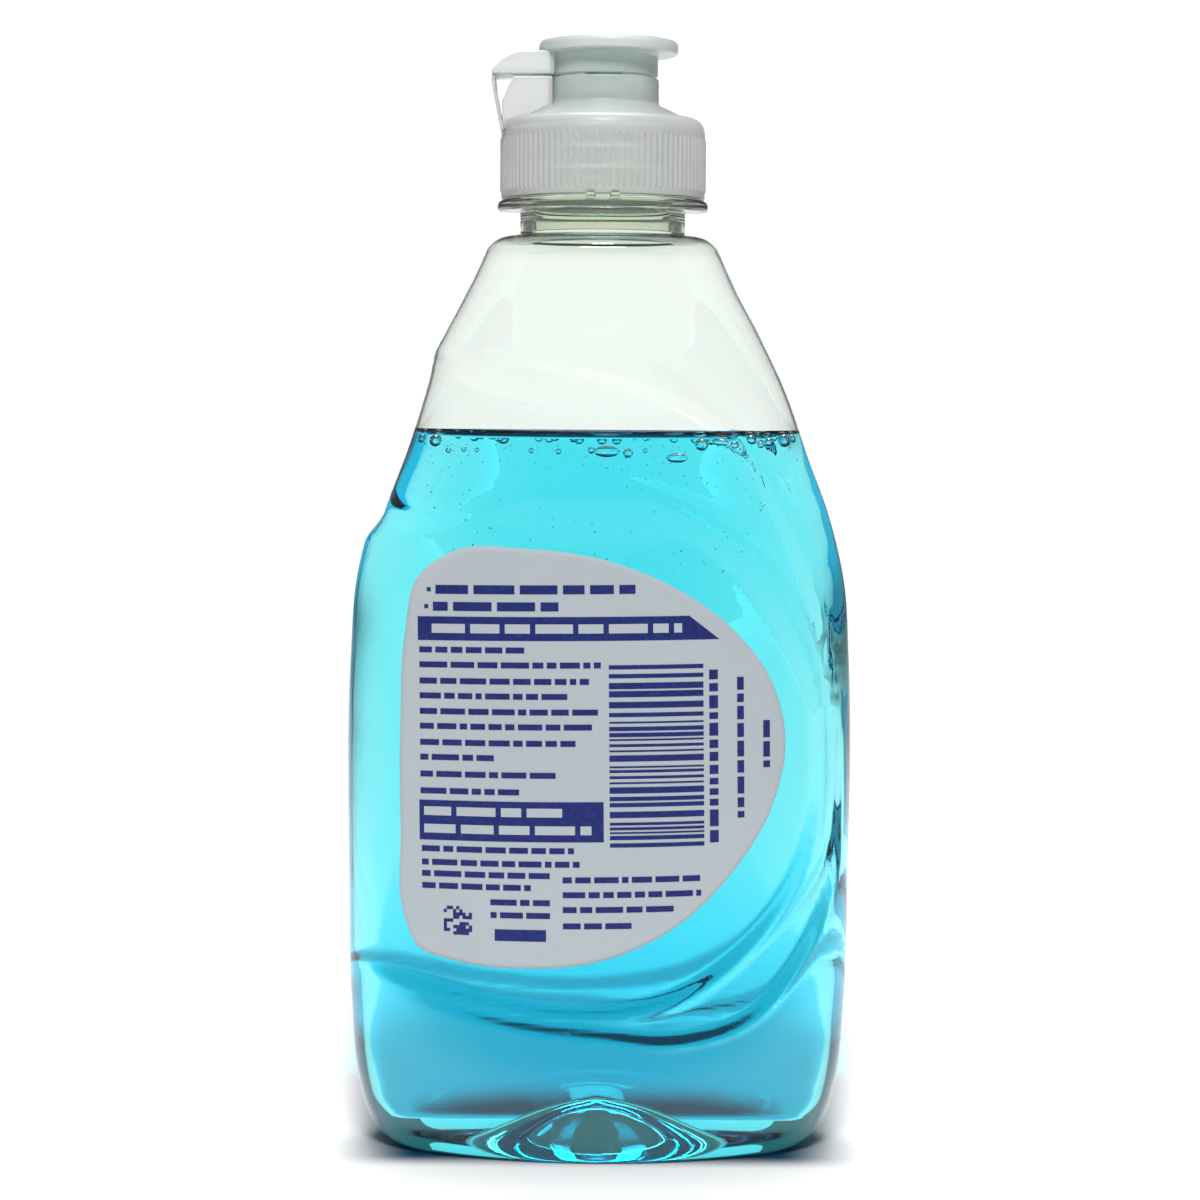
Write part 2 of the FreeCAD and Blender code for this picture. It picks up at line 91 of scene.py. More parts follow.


# Matt white paper with painted light and shade. It is painted darker towards the camera, out of the picture,
# so the bottle's face mirrors a dark room. Behind the bottle a painted shadow, dark blue near it and light
# blue further back, stands in for the soft blue-green shadow of light that has come through the soap.
paper, tree, output = new_material("matt white paper")
place = add_node(tree, "TexCoord")
spot = add_node(tree, "SeparateXYZ", {"Vector": place.outputs["Object"]})
sideways = add_node(tree, "Math", {0: spot.outputs["X"]}, operation="ABSOLUTE")
# The painted shadow widens by this share of the way back
shadow_spread = add_node(tree, "Math", {0: spot.outputs["Y"], 1: -0.08, 2: sideways.outputs[0]},
                         operation="MULTIPLY_ADD")
narrow = add_node(tree, "MapRange", {"Value": shadow_spread.outputs[0], "From Min": 0.028, "From Max": 0.042,
                                     "To Min": 1.0, "To Max": 0.0}, interpolation_type="SMOOTHSTEP")
fading = add_node(tree, "MapRange", {"Value": spot.outputs["Y"], "From Min": 0.06, "From Max": 0.4,
                                     "To Min": 1.0, "To Max": 0.0})
behind = add_node(tree, "MapRange", {"Value": spot.outputs["Y"], "From Min": -0.021, "From Max": -0.012,
                                     "To Min": 0.0, "To Max": 1.0}, interpolation_type="SMOOTHSTEP")
close = add_node(tree, "MapRange", {"Value": spot.outputs["Y"], "From Min": 0.042, "From Max": 0.064,
                                    "To Min": 0.0, "To Max": 1.0}, interpolation_type="SMOOTHSTEP")
# Painted shadow colour: dark blue close behind the bottle, light blue further back
painted_soap_shadow = add_node(tree, "Mix", {0: close.outputs[0], 6: linear("053A54"), 7: linear("24D8F6")},
                        data_type="RGBA")
patch = add_node(tree, "Math", {0: narrow.outputs[0], 1: fading.outputs[0]}, operation="MULTIPLY")
shade = add_node(tree, "Math", {0: patch.outputs[0], 1: behind.outputs[0]}, operation="MULTIPLY")
# Painted light pool: the paper is light where the picture sees it, painted darker towards camera and sides
towards_camera = add_node(tree, "MapRange", {"Value": spot.outputs["Y"], "From Min": -0.1, "From Max": -0.044,
                                             "To Min": 0.0, "To Max": 1.0}, interpolation_type="SMOOTHSTEP")
# Half the picture's view widens by this share of the way back
view_spread = add_node(tree, "Math", {0: spot.outputs["Y"], 1: -0.2, 2: -0.13}, operation="MULTIPLY_ADD")
beyond = add_node(tree, "Math", {0: sideways.outputs[0], 1: view_spread.outputs[0]}, operation="ADD")
in_view = add_node(tree, "MapRange", {"Value": beyond.outputs[0], "From Min": 0.0, "From Max": 0.45,
                                      "To Min": 1.0, "To Max": 0.0}, interpolation_type="SMOOTHSTEP")
painted_light_pool = add_node(tree, "Math", {0: towards_camera.outputs[0], 1: in_view.outputs[0]}, operation="MULTIPLY")
# Paper colour with the painted light pool: grey outside it, white inside
ground = add_node(tree, "Mix", {0: painted_light_pool.outputs[0], 6: linear("A2A2A2"), 7: linear("F4F4F4")},
                  data_type="RGBA")
shaded = add_node(tree, "Mix", {0: shade.outputs[0], 6: ground.outputs[2], 7: painted_soap_shadow.outputs[2]},
                  data_type="RGBA")
sheen = add_node(tree, "BsdfPrincipled", {"Base Color": shaded.outputs[2], "Roughness": 0.9})
tree.links.new(sheen.outputs[0], output.inputs["Surface"])

FLOOR_HALF = 3.0
floor_mesh = bpy.data.meshes.new("floor")
floor_mesh.from_pydata(
    [(-FLOOR_HALF, -FLOOR_HALF, 0), (FLOOR_HALF, -FLOOR_HALF, 0), (FLOOR_HALF, FLOOR_HALF, 0),
     (-FLOOR_HALF, FLOOR_HALF, 0)], [], [(0, 1, 2, 3)])
floor_mesh.materials.append(paper)
floor = add_object("floor", floor_mesh)

BACKDROP_AWAY = 1.2
BACKDROP_HALF = 0.42
BACKDROP_HEIGHT = 0.45
glowing, tree, output = new_material("lit white backdrop")
glow = add_node(tree, "Emission", {"Color": (1.0, 1.0, 1.0, 1.0), "Strength": 1.15})
tree.links.new(glow.outputs[0], output.inputs["Surface"])
backdrop_mesh = bpy.data.meshes.new("backdrop")
backdrop_mesh.from_pydata(
    [(-BACKDROP_HALF, BACKDROP_AWAY, 0), (BACKDROP_HALF, BACKDROP_AWAY, 0),
     (BACKDROP_HALF, BACKDROP_AWAY, BACKDROP_HEIGHT), (-BACKDROP_HALF, BACKDROP_AWAY, BACKDROP_HEIGHT)],
    [], [(0, 1, 2, 3)])
backdrop_mesh.materials.append(glowing)
backdrop = add_object("backdrop", backdrop_mesh)

world = bpy.data.worlds.new("studio room")
world.use_nodes = True
world.node_tree.nodes["Background"].inputs["Color"].default_value = (1.0, 1.0, 1.0, 1.0)
world.node_tree.nodes["Background"].inputs["Strength"].default_value = 0.2
bpy.context.scene.world = world


def soft_light(name, place, target, width, power):
    """Square area light at a place, turned towards a target."""
    lamp = bpy.data.lights.new(name, "AREA")
    lamp.size = width
    lamp.energy = power
    made = add_object(name, lamp)
    made.location = place
    made.rotation_euler = (Vector(target) - Vector(place)).to_track_quat("-Z", "Y").to_euler()
    return made


soft_light("overhead_light", (0.0, 0.55, 2.2), (0.0, 0.55, 0.0), 1.0, 34.0)
high_front_light = soft_light("high_front_light", (0.0, -2.0, 2.2), (0.0, 0.0, 0.08), 0.8, 84.0)
# As through a polarising filter, the plastic shows no mirror image of this light
high_front_light.visible_glossy = False

# The lens stands 0.515 m in front of the bottle's axis, just above the soap's level, and looks down a little
EYE = (-0.0002, -0.515, 0.1083)
PITCH = math.radians(2.863)
ROLL = math.radians(-0.38)
FOCUS_PIXELS = 3399
FRAME_PIXELS = 1200
lens = bpy.data.cameras.new("camera")
lens.sensor_width = 36.0
lens.lens = FOCUS_PIXELS / FRAME_PIXELS * lens.sensor_width
camera = add_object("camera", lens)
camera.location = EYE
camera.rotation_mode = "XYZ"
camera.rotation_euler = (math.pi / 2 - PITCH, ROLL, 0.0)
bpy.context.scene.camera = camera
bpy.context.scene.view_settings.view_transform = "Standard"
# Light crosses both walls, the soap and the bubbles, so it may bend more often than usual
bpy.context.scene.cycles.transmission_bounces = 24
bpy.context.scene.cycles.transparent_max_bounces = 16
bpy.context.scene.cycles.max_bounces = 32


# Bottle
# One blow-moulded bottle of clear PET. Its body is a thin blown wall with a sunken label panel and a crescent
# terrace on both broad faces and a pushed-up base; its neck, ring and two snap beads are thick, as injected.

HEIGHTS = np.cumsum([0.0, 4.0, 6.0, 12.0, 18.0, 34.0, 12.0, 9.0, 10.0, 9.0, 8.0, 8.0, 7.3])
WIDTHS = np.array([65.0, 69.4, 72.8, 75.1, 75.9, 75.7, 73.9, 69.6, 62.3, 56.0, 48.5, 40.1, 33.4])
DEPTHS = np.array([38.6, 39.2, 39.6, 39.9, 40.0, 40.0, 39.8, 39.3, 38.2, 36.6, 34.6, 32.6, 30.4])
WALL = 0.5
FOOT_RADIUS = 3.0
SHOULDER_RADIUS = 2.2
BODY_TOP = HEIGHTS[-1]
# Share of each recess's depth that is left at each station: below 0 it has faded out
PANEL_SHARES = np.array([1, 1, 1, 1, 1, 1, 1, 0.8, -0.1, -0.8, -0.8, -0.8, -0.8])
TERRACE_SHARES = np.array([1, 1, 1, 1, 1, 1, 1, 1, 1, 0.8, -0.2, -0.8, -0.8])
PANEL_DROP = 1.5
TERRACE_DROP = 0.85


def smooth_step(share):
    """Share eased from 0 to 1: three times its square less twice its cube, held between 0 and 1."""
    held = np.clip(share, 0, 1)
    return held * held * (3 - 2 * held)


def through(places, knots, values):
    """Smooth curve through values at knots: cubics whose slope at a knot is the mean of those beside it."""
    steps = np.diff(knots)
    rises = np.diff(values) / steps
    slopes = np.concatenate([rises[:1], (rises[:-1] * steps[1:] + rises[1:] * steps[:-1])
                             / (steps[1:] + steps[:-1]), rises[-1:]])
    left = np.clip(np.searchsorted(knots, places) - 1, 0, len(steps) - 1)
    share = (places - knots[left]) / steps[left]
    bend = share * share * (3 - 2 * share)
    from_start = share * (1 - share) ** 2 * slopes[left]
    from_end = share ** 2 * (1 - share) * slopes[left + 1]
    return values[left] * (1 - bend) + values[left + 1] * bend + steps[left] * (from_start - from_end)


# The body's outline from above is a circle of the end radius, widened by a flat share. The point whose
# outward normal has a given angle is the end radius times that direction, plus a fixed curve times what the
# broad faces add.
CORNER_ANGLE = math.radians(60)
CORNER_EASE = math.radians(9)
QUARTER_STEPS = 1440
quarter = np.linspace(0, math.pi / 2, QUARTER_STEPS + 1)
broad_share = smooth_step((quarter - CORNER_ANGLE + CORNER_EASE) / (2 * CORNER_EASE))
quarter_step = quarter[1]


def running_sum(values):
    """Area under the values from the first one up to each."""
    return np.concatenate([[0.0], np.cumsum((values[1:] + values[:-1]) / 2 * quarter_step)])


flat_across = running_sum(broad_share * np.sin(quarter))
flat_across = flat_across[-1] - flat_across
flat_deep = running_sum(broad_share * np.cos(quarter))


def oval(width, depth, inset, angle):
    """Points of the outline with the given outward normals, for a full width and depth drawn in by inset."""
    folded = np.arctan2(np.abs(np.sin(angle)), np.abs(np.cos(angle)))
    broad = (width / 2 - depth / 2) / (flat_across[0] - flat_deep[-1])
    end_radius = depth / 2 - broad * flat_deep[-1] - inset
    across = broad * np.interp(folded, quarter, flat_across) * np.sign(np.cos(angle))
    deep = broad * np.interp(folded, quarter, flat_deep) * np.sign(np.sin(angle))
    return end_radius * np.cos(angle) + across, end_radius * np.sin(angle) + deep


# Columns round the body: closer on the broad faces, where the recesses' edges run
COLUMNS = 224
END_LENGTH, END_SPACING = 13.5, 1.0
FACE_LENGTH, FACE_SPACING = 62.0, 0.62
turn_round = np.linspace(0, 2 * math.pi, 4 * QUARTER_STEPS + 1)
folded_turn = np.arctan2(np.abs(np.sin(turn_round)), np.abs(np.cos(turn_round)))
on_face = np.interp(folded_turn, quarter, broad_share)
column_rate = END_LENGTH / END_SPACING * (1 - on_face) + FACE_LENGTH / FACE_SPACING * on_face
column_count = np.concatenate([[0.0], np.cumsum((column_rate[1:] + column_rate[:-1]) / 2)])
angles = np.interp(np.arange(COLUMNS) / COLUMNS * column_count[-1], column_count, turn_round)[None, :]

# Corners of the panel's and the terrace's edges on the broad faces, as shares of half the panel's size
PANEL_WIDTH = 72.0
PANEL_HEIGHT = 80.0
PANEL_CENTRE = 61.0
PANEL_EDGE = np.array([
    (-1.6, -0.76), (-1.04, -0.815), (-0.82, -0.875), (-0.41, -0.968), (0.0, -0.993), (0.32, -0.935),
    (0.605, -0.77), (0.845, -0.50), (0.95, -0.13), (0.942, 0.125), (0.833, 0.40), (0.65, 0.665),
    (0.367, 0.863), (0.0, 1.0), (-0.44, 1.075), (-1.04, 1.10), (-1.6, 1.10)])
TERRACE_EDGE = np.array([
    (-1.6, -0.78), (-1.04, -0.85), (-0.82, -0.91), (-0.41, -1.005), (0.0, -1.045), (0.333, -1.07),
    (0.617, -1.003), (0.839, -0.788), (0.967, -0.55), (1.011, -0.215), (0.997, 0.088), (0.922, 0.465),
    (0.786, 0.808), (0.567, 1.135), (0.22, 1.325), (-0.22, 1.425), (-0.75, 1.475), (-1.6, 1.50)])


def edge_line(shares, width, height, centre, samples):
    """Smooth line in millimetres through an edge's corners, evenly spaced."""
    corners = shares * (width / 2, height / 2) + centre
    along = np.concatenate([[0.0], np.cumsum(np.hypot(*np.diff(corners, axis=0).T))])
    places = np.linspace(0, along[-1], samples)
    return np.stack([through(places, along, corners[:, 0]), through(places, along, corners[:, 1])], -1)


def signed_distance(x, z, line):
    """Distance from each point to a line, above 0 on the line's left side as it runs."""
    starts, ends = line[:-1], line[1:]
    runs = ends - starts
    nearest = np.full(x.shape, 1e9)
    side = np.zeros(x.shape)
    for start, run in zip(starts, runs):
        from_x, from_z = x - start[0], z - start[1]
        share = np.clip((from_x * run[0] + from_z * run[1]) / (run @ run), 0, 1)
        gap = np.hypot(from_x - share * run[0], from_z - share * run[1])
        closer = gap < nearest
        nearest = np.where(closer, gap, nearest)
        side = np.where(closer, run[0] * from_z - run[1] * from_x, side)
    return nearest * np.sign(side)


EDGE_SAMPLES = 150
CRESCENT_SAMPLES = 60
panel_line = edge_line(PANEL_EDGE, PANEL_WIDTH, PANEL_HEIGHT, (0.0, PANEL_CENTRE), EDGE_SAMPLES)
terrace_line = edge_line(TERRACE_EDGE, PANEL_WIDTH, PANEL_HEIGHT, (0.0, PANEL_CENTRE), EDGE_SAMPLES)
# A narrow crescent higher up: its outer side from the top down to its tip, then its inner side back up
CRESCENT_EDGE = np.array([
    (2.9, 121.7), (8.8, 119.7), (14.7, 116.5), (20.5, 112.1), (24.6, 107.3), (27.1, 102.5), (28.1, 97.0),
    (24.2, 102.5), (19.8, 108.0), (14.7, 113.3), (8.8, 117.6), (2.9, 121.3)])
CRESCENT_TIP = 6
crescent_outer = edge_line(CRESCENT_EDGE[:CRESCENT_TIP + 1], 2, 2, 0.0, CRESCENT_SAMPLES)
crescent_inner = edge_line(CRESCENT_EDGE[CRESCENT_TIP:], 2, 2, 0.0, CRESCENT_SAMPLES)
CRESCENT_DROP = 0.45
# How far each recess's edge slopes, and how softly the slope starts
PANEL_SLOPE = 2.7
TERRACE_SLOPE = 1.4
CRESCENT_SLOPE = 1.2
EDGE_ROUNDING = 0.35
# A thin bead stands along the panel's and the terrace's lines
BEAD_RISE = 0.22
BEAD_REACH = 0.75
# Where each form starts, and the length over which it comes in
PANEL_LEFT, PANEL_EASE = -38.0, 18.0
TERRACE_LEFT, TERRACE_EASE = -14.0, 18.0
ABOVE_PANEL, ABOVE_EASE = 91.0, 5.0
LEFT_DROP, LEFT_START, LEFT_EASE = 0.9, -10.0, 20.0
CRESCENT_START, CRESCENT_EASE = 4.0, 12.0
BEAD_START, BEAD_EASE = -2.0, 14.0
BEAD_TOP, BEAD_TOP_EASE = 112.0, 12.0


def eased_in(distance, slope):
    """Share of a recess's depth at a distance inside its edge: 1 less the square of the slope still ahead."""
    rounded_start = (distance + np.sqrt(distance ** 2 + EDGE_ROUNDING ** 2)) / 2
    return 1 - (1 - np.clip(rounded_start / slope, 0, 1)) ** 2


def panel_depth(x, z):
    """Depth of the panel's floor: it runs out towards the bottle's left side and towards the shoulder."""
    runs_out = smooth_step((x - PANEL_LEFT) / PANEL_EASE)
    return np.clip(through(z, HEIGHTS, PANEL_SHARES), 0, 1) * PANEL_DROP * runs_out


def recess(x, z):
    """How far a broad face is drawn in: the deeper of terrace and panel, plus crescent, less bead.

    The terrace is deeper above the panel at the bottle's left side, and runs out at the left below that.
    """
    panel = panel_depth(x, z) * eased_in(signed_distance(x, z, panel_line), PANEL_SLOPE)
    above = smooth_step((z - ABOVE_PANEL) / ABOVE_EASE)
    deeper = LEFT_DROP * above * smooth_step((LEFT_START - x) / LEFT_EASE)
    run_out = TERRACE_DROP * (1 - above) * smooth_step((TERRACE_LEFT - x) / TERRACE_EASE)
    terrace_depth = TERRACE_DROP + deeper - run_out
    terrace = (np.clip(through(z, HEIGHTS, TERRACE_SHARES), 0, 1) * terrace_depth
               * eased_in(signed_distance(x, z, terrace_line), TERRACE_SLOPE))
    inside = np.minimum(-signed_distance(x, z, crescent_outer), -signed_distance(x, z, crescent_inner))
    comes_in = smooth_step((x - CRESCENT_START) / CRESCENT_EASE)
    crescent = CRESCENT_DROP * eased_in(inside, CRESCENT_SLOPE) * comes_in
    beads = sum(np.exp(-(signed_distance(x, z, line) / BEAD_REACH) ** 2)
                for line in (panel_line, terrace_line))
    bead = (BEAD_RISE * beads * smooth_step((x - BEAD_START) / BEAD_EASE)
            * smooth_step((BEAD_TOP - z) / BEAD_TOP_EASE))
    return np.maximum(panel, terrace) + crescent * (inside > 0) - bead


ROUNDING_RINGS = 9


def body_rows(inset, spacing, stops=()):
    """Rings of the blown wall drawn in by inset, from the foot up to the shoulder, with a ring at each stop.

    A ring at height z is the oval of that height, drawn in further where the foot and the shoulder are
    rounded by a quarter circle and where a recess sinks the wall.
    """
    low, high = FOOT_RADIUS - inset, SHOULDER_RADIUS - inset
    bottom, top = inset, BODY_TOP - inset
    count = int(round((top - high - bottom - low) / spacing))
    middle = np.union1d(np.linspace(bottom + low, top - high, count + 1)[1:-1], stops)
    bend = np.linspace(0, math.pi / 2, ROUNDING_RINGS)
    z = np.concatenate([bottom + low * (1 - np.cos(bend)), middle, top - high * (1 - np.sin(bend))])
    rounding = np.concatenate([low * (1 - np.sin(bend)), 0 * middle, high * (1 - np.cos(bend))])
    z, rounding = z[:, None], rounding[:, None]
    width, depth = through(z, HEIGHTS, WIDTHS), through(z, HEIGHTS, DEPTHS)
    x, y = oval(width, depth, inset + rounding, angles)
    sunk = recess(x, np.broadcast_to(z, x.shape))
    x, y = oval(width, depth, inset + rounding + sunk, angles)
    return np.stack([x, y, np.broadcast_to(z, x.shape)], -1)


PUSH_UP_WIDTH = 46.0
PUSH_UP_DEPTH = 20.0
PUSH_UP_HEIGHT = 7.5
PEAK_ROUNDING = 0.015


def base_rows(foot_ring, inset, count):
    """Rings from near the base's middle out to the foot: the foot ring shrunk, lifted by a peaked push-up.

    The push-up's height falls from its middle nearly evenly with the share of the way to its oval rim.
    """
    shares = (np.arange(1, count) / count)[:, None, None]
    rings = foot_ring[None] * shares
    from_middle = ((rings[..., 0] / (PUSH_UP_WIDTH / 2 + inset)) ** 2
                   + (rings[..., 1] / (PUSH_UP_DEPTH / 2 + inset)) ** 2)
    rise = smooth_step(1 - np.sqrt(from_middle + PEAK_ROUNDING)) * PUSH_UP_HEIGHT
    rings[..., 2] = inset + rise
    return rings


def rounded(corners, cuts, samples=5):
    """Profile through corners, each inner one replaced by a parabola between points cut away from it."""
    corners = np.array(corners, float)
    cuts = np.array(cuts, float)[:, None, None]
    before, after = corners[:-2] - corners[1:-1], corners[2:] - corners[1:-1]
    before /= np.hypot(*before.T)[:, None]
    after /= np.hypot(*after.T)[:, None]
    share = np.linspace(0, 1, samples)[None, :, None]
    curves = corners[1:-1, None] + cuts * ((1 - share) ** 2 * before[:, None] + share ** 2 * after[:, None])
    return np.vstack([corners[:1], curves.reshape(-1, 2), corners[-1:]])


def turned(profile, angle):
    """Rings of a profile of radius and height, turned about the vertical axis."""
    radius, z = profile[:, :1], profile[:, 1:]
    flat = np.broadcast_to(z, (len(profile), angle.size))
    return np.stack([radius * np.cos(angle), radius * np.sin(angle), flat], -1)


def closed_skin(name, rows, first_pole=None, last_pole=None, band=(), loops=False):
    """Mesh over rings of equal count that run round the axis, closed by a pole at each end that is given.

    Where it loops, the last ring joins the first one instead. band holds pairs of a ring number and a
    material number: faces from that ring on take that material. Rings that run up the outside give faces
    that look outwards.
    """
    count, around = rows.shape[:2]
    points = rows.reshape(-1, 3)
    ring, ring_next = np.arange(around), (np.arange(around) + 1) % around
    starts = np.arange(count - 1 + loops)[:, None] * around
    low, low_next = (starts + ring).ravel(), (starts + ring_next).ravel()
    faces = (np.stack([low, low_next, low_next + around, low + around], -1) % (count * around)).tolist()
    material = np.zeros(len(faces), int)
    for start, number in band:
        material[start * around:] = number
    material = material.tolist()
    if first_pole is not None:
        points = np.vstack([points, [first_pole]])
        faces += np.stack([ring_next, ring, np.full(around, len(points) - 1)], -1).tolist()
        material += [material[0]] * around
    if last_pole is not None:
        points = np.vstack([points, [last_pole]])
        base = (count - 1) * around
        faces += np.stack([base + ring, base + ring_next, np.full(around, len(points) - 1)], -1).tolist()
        material += [material[(count - 1) * around - 1]] * around
    mesh = bpy.data.meshes.new(name)
    mesh.from_pydata((points * MM).tolist(), [], faces)
    mesh.polygons.foreach_set("use_smooth", [True] * len(faces))
    mesh.polygons.foreach_set("material_index", material)
    mesh.update()
    return mesh


SOAP_LEVEL = 106.8
MENISCUS = 1.5
NECK_RADIUS = 12.5
BORE_RADIUS = 10.8
RING_LOW, RING_HIGH, RING_RADIUS = 141.0, 142.7, 15.95
NECK_TOP = 153.0
BEAD_RADIUS = 13.4
LOW_BEAD, HIGH_BEAD = 146.6, 149.7
# Rings stand closer on the outer face, which bends the light most
OUTER_SPACING, INNER_SPACING = 0.66, 1.2
OUTER_BASE_RINGS, INNER_BASE_RINGS = 18, 14
NECK_SAMPLES = 4
outer_wall = body_rows(0.0, OUTER_SPACING)
foot = base_rows(outer_wall[0], 0.0, OUTER_BASE_RINGS)
neck_profile = rounded(
    [(14.2, BODY_TOP), (NECK_RADIUS, BODY_TOP), (NECK_RADIUS, RING_LOW), (RING_RADIUS, RING_LOW),
     (RING_RADIUS, RING_HIGH), (NECK_RADIUS, RING_HIGH),
     (NECK_RADIUS, LOW_BEAD - 0.7), (BEAD_RADIUS, LOW_BEAD - 0.25), (BEAD_RADIUS, LOW_BEAD + 0.25),
     (NECK_RADIUS, LOW_BEAD + 0.7), (NECK_RADIUS, HIGH_BEAD - 0.7), (BEAD_RADIUS, HIGH_BEAD - 0.25),
     (BEAD_RADIUS, HIGH_BEAD + 0.25), (NECK_RADIUS, HIGH_BEAD + 0.7), (NECK_RADIUS, NECK_TOP),
     (BORE_RADIUS, NECK_TOP), (BORE_RADIUS, BODY_TOP - WALL - 0.6), (11.6, BODY_TOP - WALL)],
    [0.7, 0.4, 0.75, 0.75, 0.4, 0.2, 0.2, 0.2, 0.2, 0.2, 0.2, 0.2, 0.2, 0.4, 0.5, 0.5], NECK_SAMPLES)
neck_rows = turned(neck_profile[1:-1], angles)
# Two small lugs on the ring's top place the closure: the ring's flat top rises where they stand
LUG_MIDDLE, LUG_WIDTH, LUG_LENGTH, LUG_HEIGHT, LUG_EASE = 1.8, 1.3, 1.9, 0.8, 0.25
lug_x, lug_y = neck_rows[..., 0], neck_rows[..., 1]
inside_lug = (smooth_step((LUG_WIDTH / 2 - np.abs(np.abs(lug_x) - LUG_MIDDLE)) / LUG_EASE + 0.5) * (lug_y < 0)
              * smooth_step((np.hypot(lug_x, lug_y) - RING_RADIUS + LUG_LENGTH) / LUG_EASE + 0.5))
on_ring_top = (neck_rows[..., 2] > RING_HIGH - 0.4) & (neck_rows[..., 2] < RING_HIGH + 0.01)
neck_rows[..., 2] += LUG_HEIGHT * inside_lug * on_ring_top
inner_wall = body_rows(WALL, INNER_SPACING, (SOAP_LEVEL + MENISCUS,))[::-1]
inner_base = base_rows(inner_wall[-1], WALL, INNER_BASE_RINGS)[::-1]
outer_rows = np.concatenate([foot, outer_wall, neck_rows, inner_wall, inner_base])
first_wet = int(len(foot) + len(outer_wall) + len(neck_rows)
                + np.argmin(np.abs(inner_wall[:, 0, 2] - SOAP_LEVEL - MENISCUS)))

# Clear PET, blown hot against a polished mould: glassy, IOR 1.57, with a faint waviness where the wall
# stretched unevenly, and a grey-green tint that shows where the neck is thick.
PET_IOR = 1.57
SOAP_IOR = 1.37


def clear_pet(name, index):
    """PET against whatever is beyond it: index is the ratio of the two indices of refraction."""
    material, tree, output = new_material(name)
    place = add_node(tree, "TexCoord")
    waves = add_node(tree, "TexNoise", {"Vector": place.outputs["Object"], "Scale": 1 / (14 * MM),
                                        "Detail": 2.0})
    scuffs = add_node(tree, "TexNoise", {"Vector": place.outputs["Object"], "Scale": 1 / (1.2 * MM),
                                         "Detail": 3.0})
    haze = add_node(tree, "MapRange", {"Value": scuffs.outputs["Fac"], "From Min": 0.55, "From Max": 0.8,
                                       "To Min": 0.0, "To Max": 0.03})
    height = add_node(tree, "SeparateXYZ", {"Vector": place.outputs["Object"]})
    thick = add_node(tree, "MapRange", {"Value": height.outputs["Z"], "From Min": 0.134, "From Max": 0.1385,
                                        "To Min": 0.0, "To Max": 1.0})
    tint = add_node(tree, "Mix", {0: thick.outputs[0], 6: linear("F8FCF9"), 7: linear("E0E6D8")},
                    data_type="RGBA")
    bump = add_node(tree, "Bump", {"Height": waves.outputs["Fac"], "Strength": 0.06, "Distance": 1.5 * MM})
    shader = add_node(tree, "BsdfPrincipled", {
        "Base Color": tint.outputs[2], "Roughness": haze.outputs[0], "IOR": index, "Transmission Weight": 1.0,
        "Normal": bump.outputs[0]})
    tree.links.new(shader.outputs[0], output.inputs["Surface"])
    return material


bottle_mesh = closed_skin("bottle", outer_rows, (0, 0, PUSH_UP_HEIGHT), (0, 0, PUSH_UP_HEIGHT + WALL),
                          [(first_wet, 1)])
bottle_mesh.materials.append(clear_pet("clear blown PET", PET_IOR))
bottle_mesh.materials.append(clear_pet("clear blown PET against soap", PET_IOR / SOAP_IOR))
bottle = add_object("blown_bottle", bottle_mesh)
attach(bottle, "bottle")
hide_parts("bottle")


# Soap
# Clear blue dish soap, filled up to a level above the label. It wets the wall, so its body starts inside the
# PET and bends no light there. Its free surface does: it climbs the wall in a meniscus, with bubbles on it.

soap_inset = WALL - 0.05
soap_wall = body_rows(soap_inset, INNER_SPACING, (SOAP_LEVEL + MENISCUS,))
soap_wall = soap_wall[soap_wall[:, 0, 2] <= SOAP_LEVEL + MENISCUS + 1e-6]
soap_base = base_rows(soap_wall[0], soap_inset, INNER_BASE_RINGS)
MENISCUS_REACH = 1.3


def surface_rows(start_inset):
    """Rings of the free surface from the wall in: level, plus a rise at the wall that dies away by powers."""
    near = np.array([0.0, 0.15, 0.3, 0.5, 0.75, 1.0, 1.4, 1.9, 2.5, 3.2, 4.2, 5.5, 7.0])[:, None]
    z = SOAP_LEVEL + MENISCUS * np.exp(-near / MENISCUS_REACH)
    width, depth = through(z, HEIGHTS, WIDTHS), through(z, HEIGHTS, DEPTHS)
    x, y = oval(width, depth, start_inset, angles)
    sunk = recess(x, np.broadcast_to(z, x.shape))
    x, y = oval(width, depth, start_inset + sunk + near, angles)
    rim = np.stack([x, y, np.broadcast_to(z, x.shape)], -1)
    shares = (np.arange(7, 0, -1) / 8)[:, None, None]
    inward = rim[-1][None] * shares
    inward[..., 2] = SOAP_LEVEL + (rim[-1, 0, 2] - SOAP_LEVEL) * shares[..., 0]
    return np.concatenate([rim, inward])


soap_top = surface_rows(soap_inset)
soap_rows = np.concatenate([soap_base, soap_wall[:-1], soap_top])
soap_mesh = closed_skin("liquid", soap_rows, (0, 0, PUSH_UP_HEIGHT + soap_inset), (0, 0, SOAP_LEVEL))
soap, tree, output = new_material("clear blue dish soap")
body = add_node(tree, "BsdfPrincipled", {"Base Color": (1.0, 1.0, 1.0, 1.0), "Roughness": 0.0, "IOR": 1.0,
                                         "Transmission Weight": 1.0})
depth_of_blue = add_node(tree, "VolumeAbsorption", {"Color": (0.24, 0.915, 0.972, 1.0),
                                                    "Density": 100.0})
tree.links.new(body.outputs[0], output.inputs["Surface"])
tree.links.new(depth_of_blue.outputs[0], output.inputs["Volume"])
soap_mesh.materials.append(soap)
liquid = add_object("soap_body", soap_mesh)
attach(liquid, "bottle")
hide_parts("liquid")

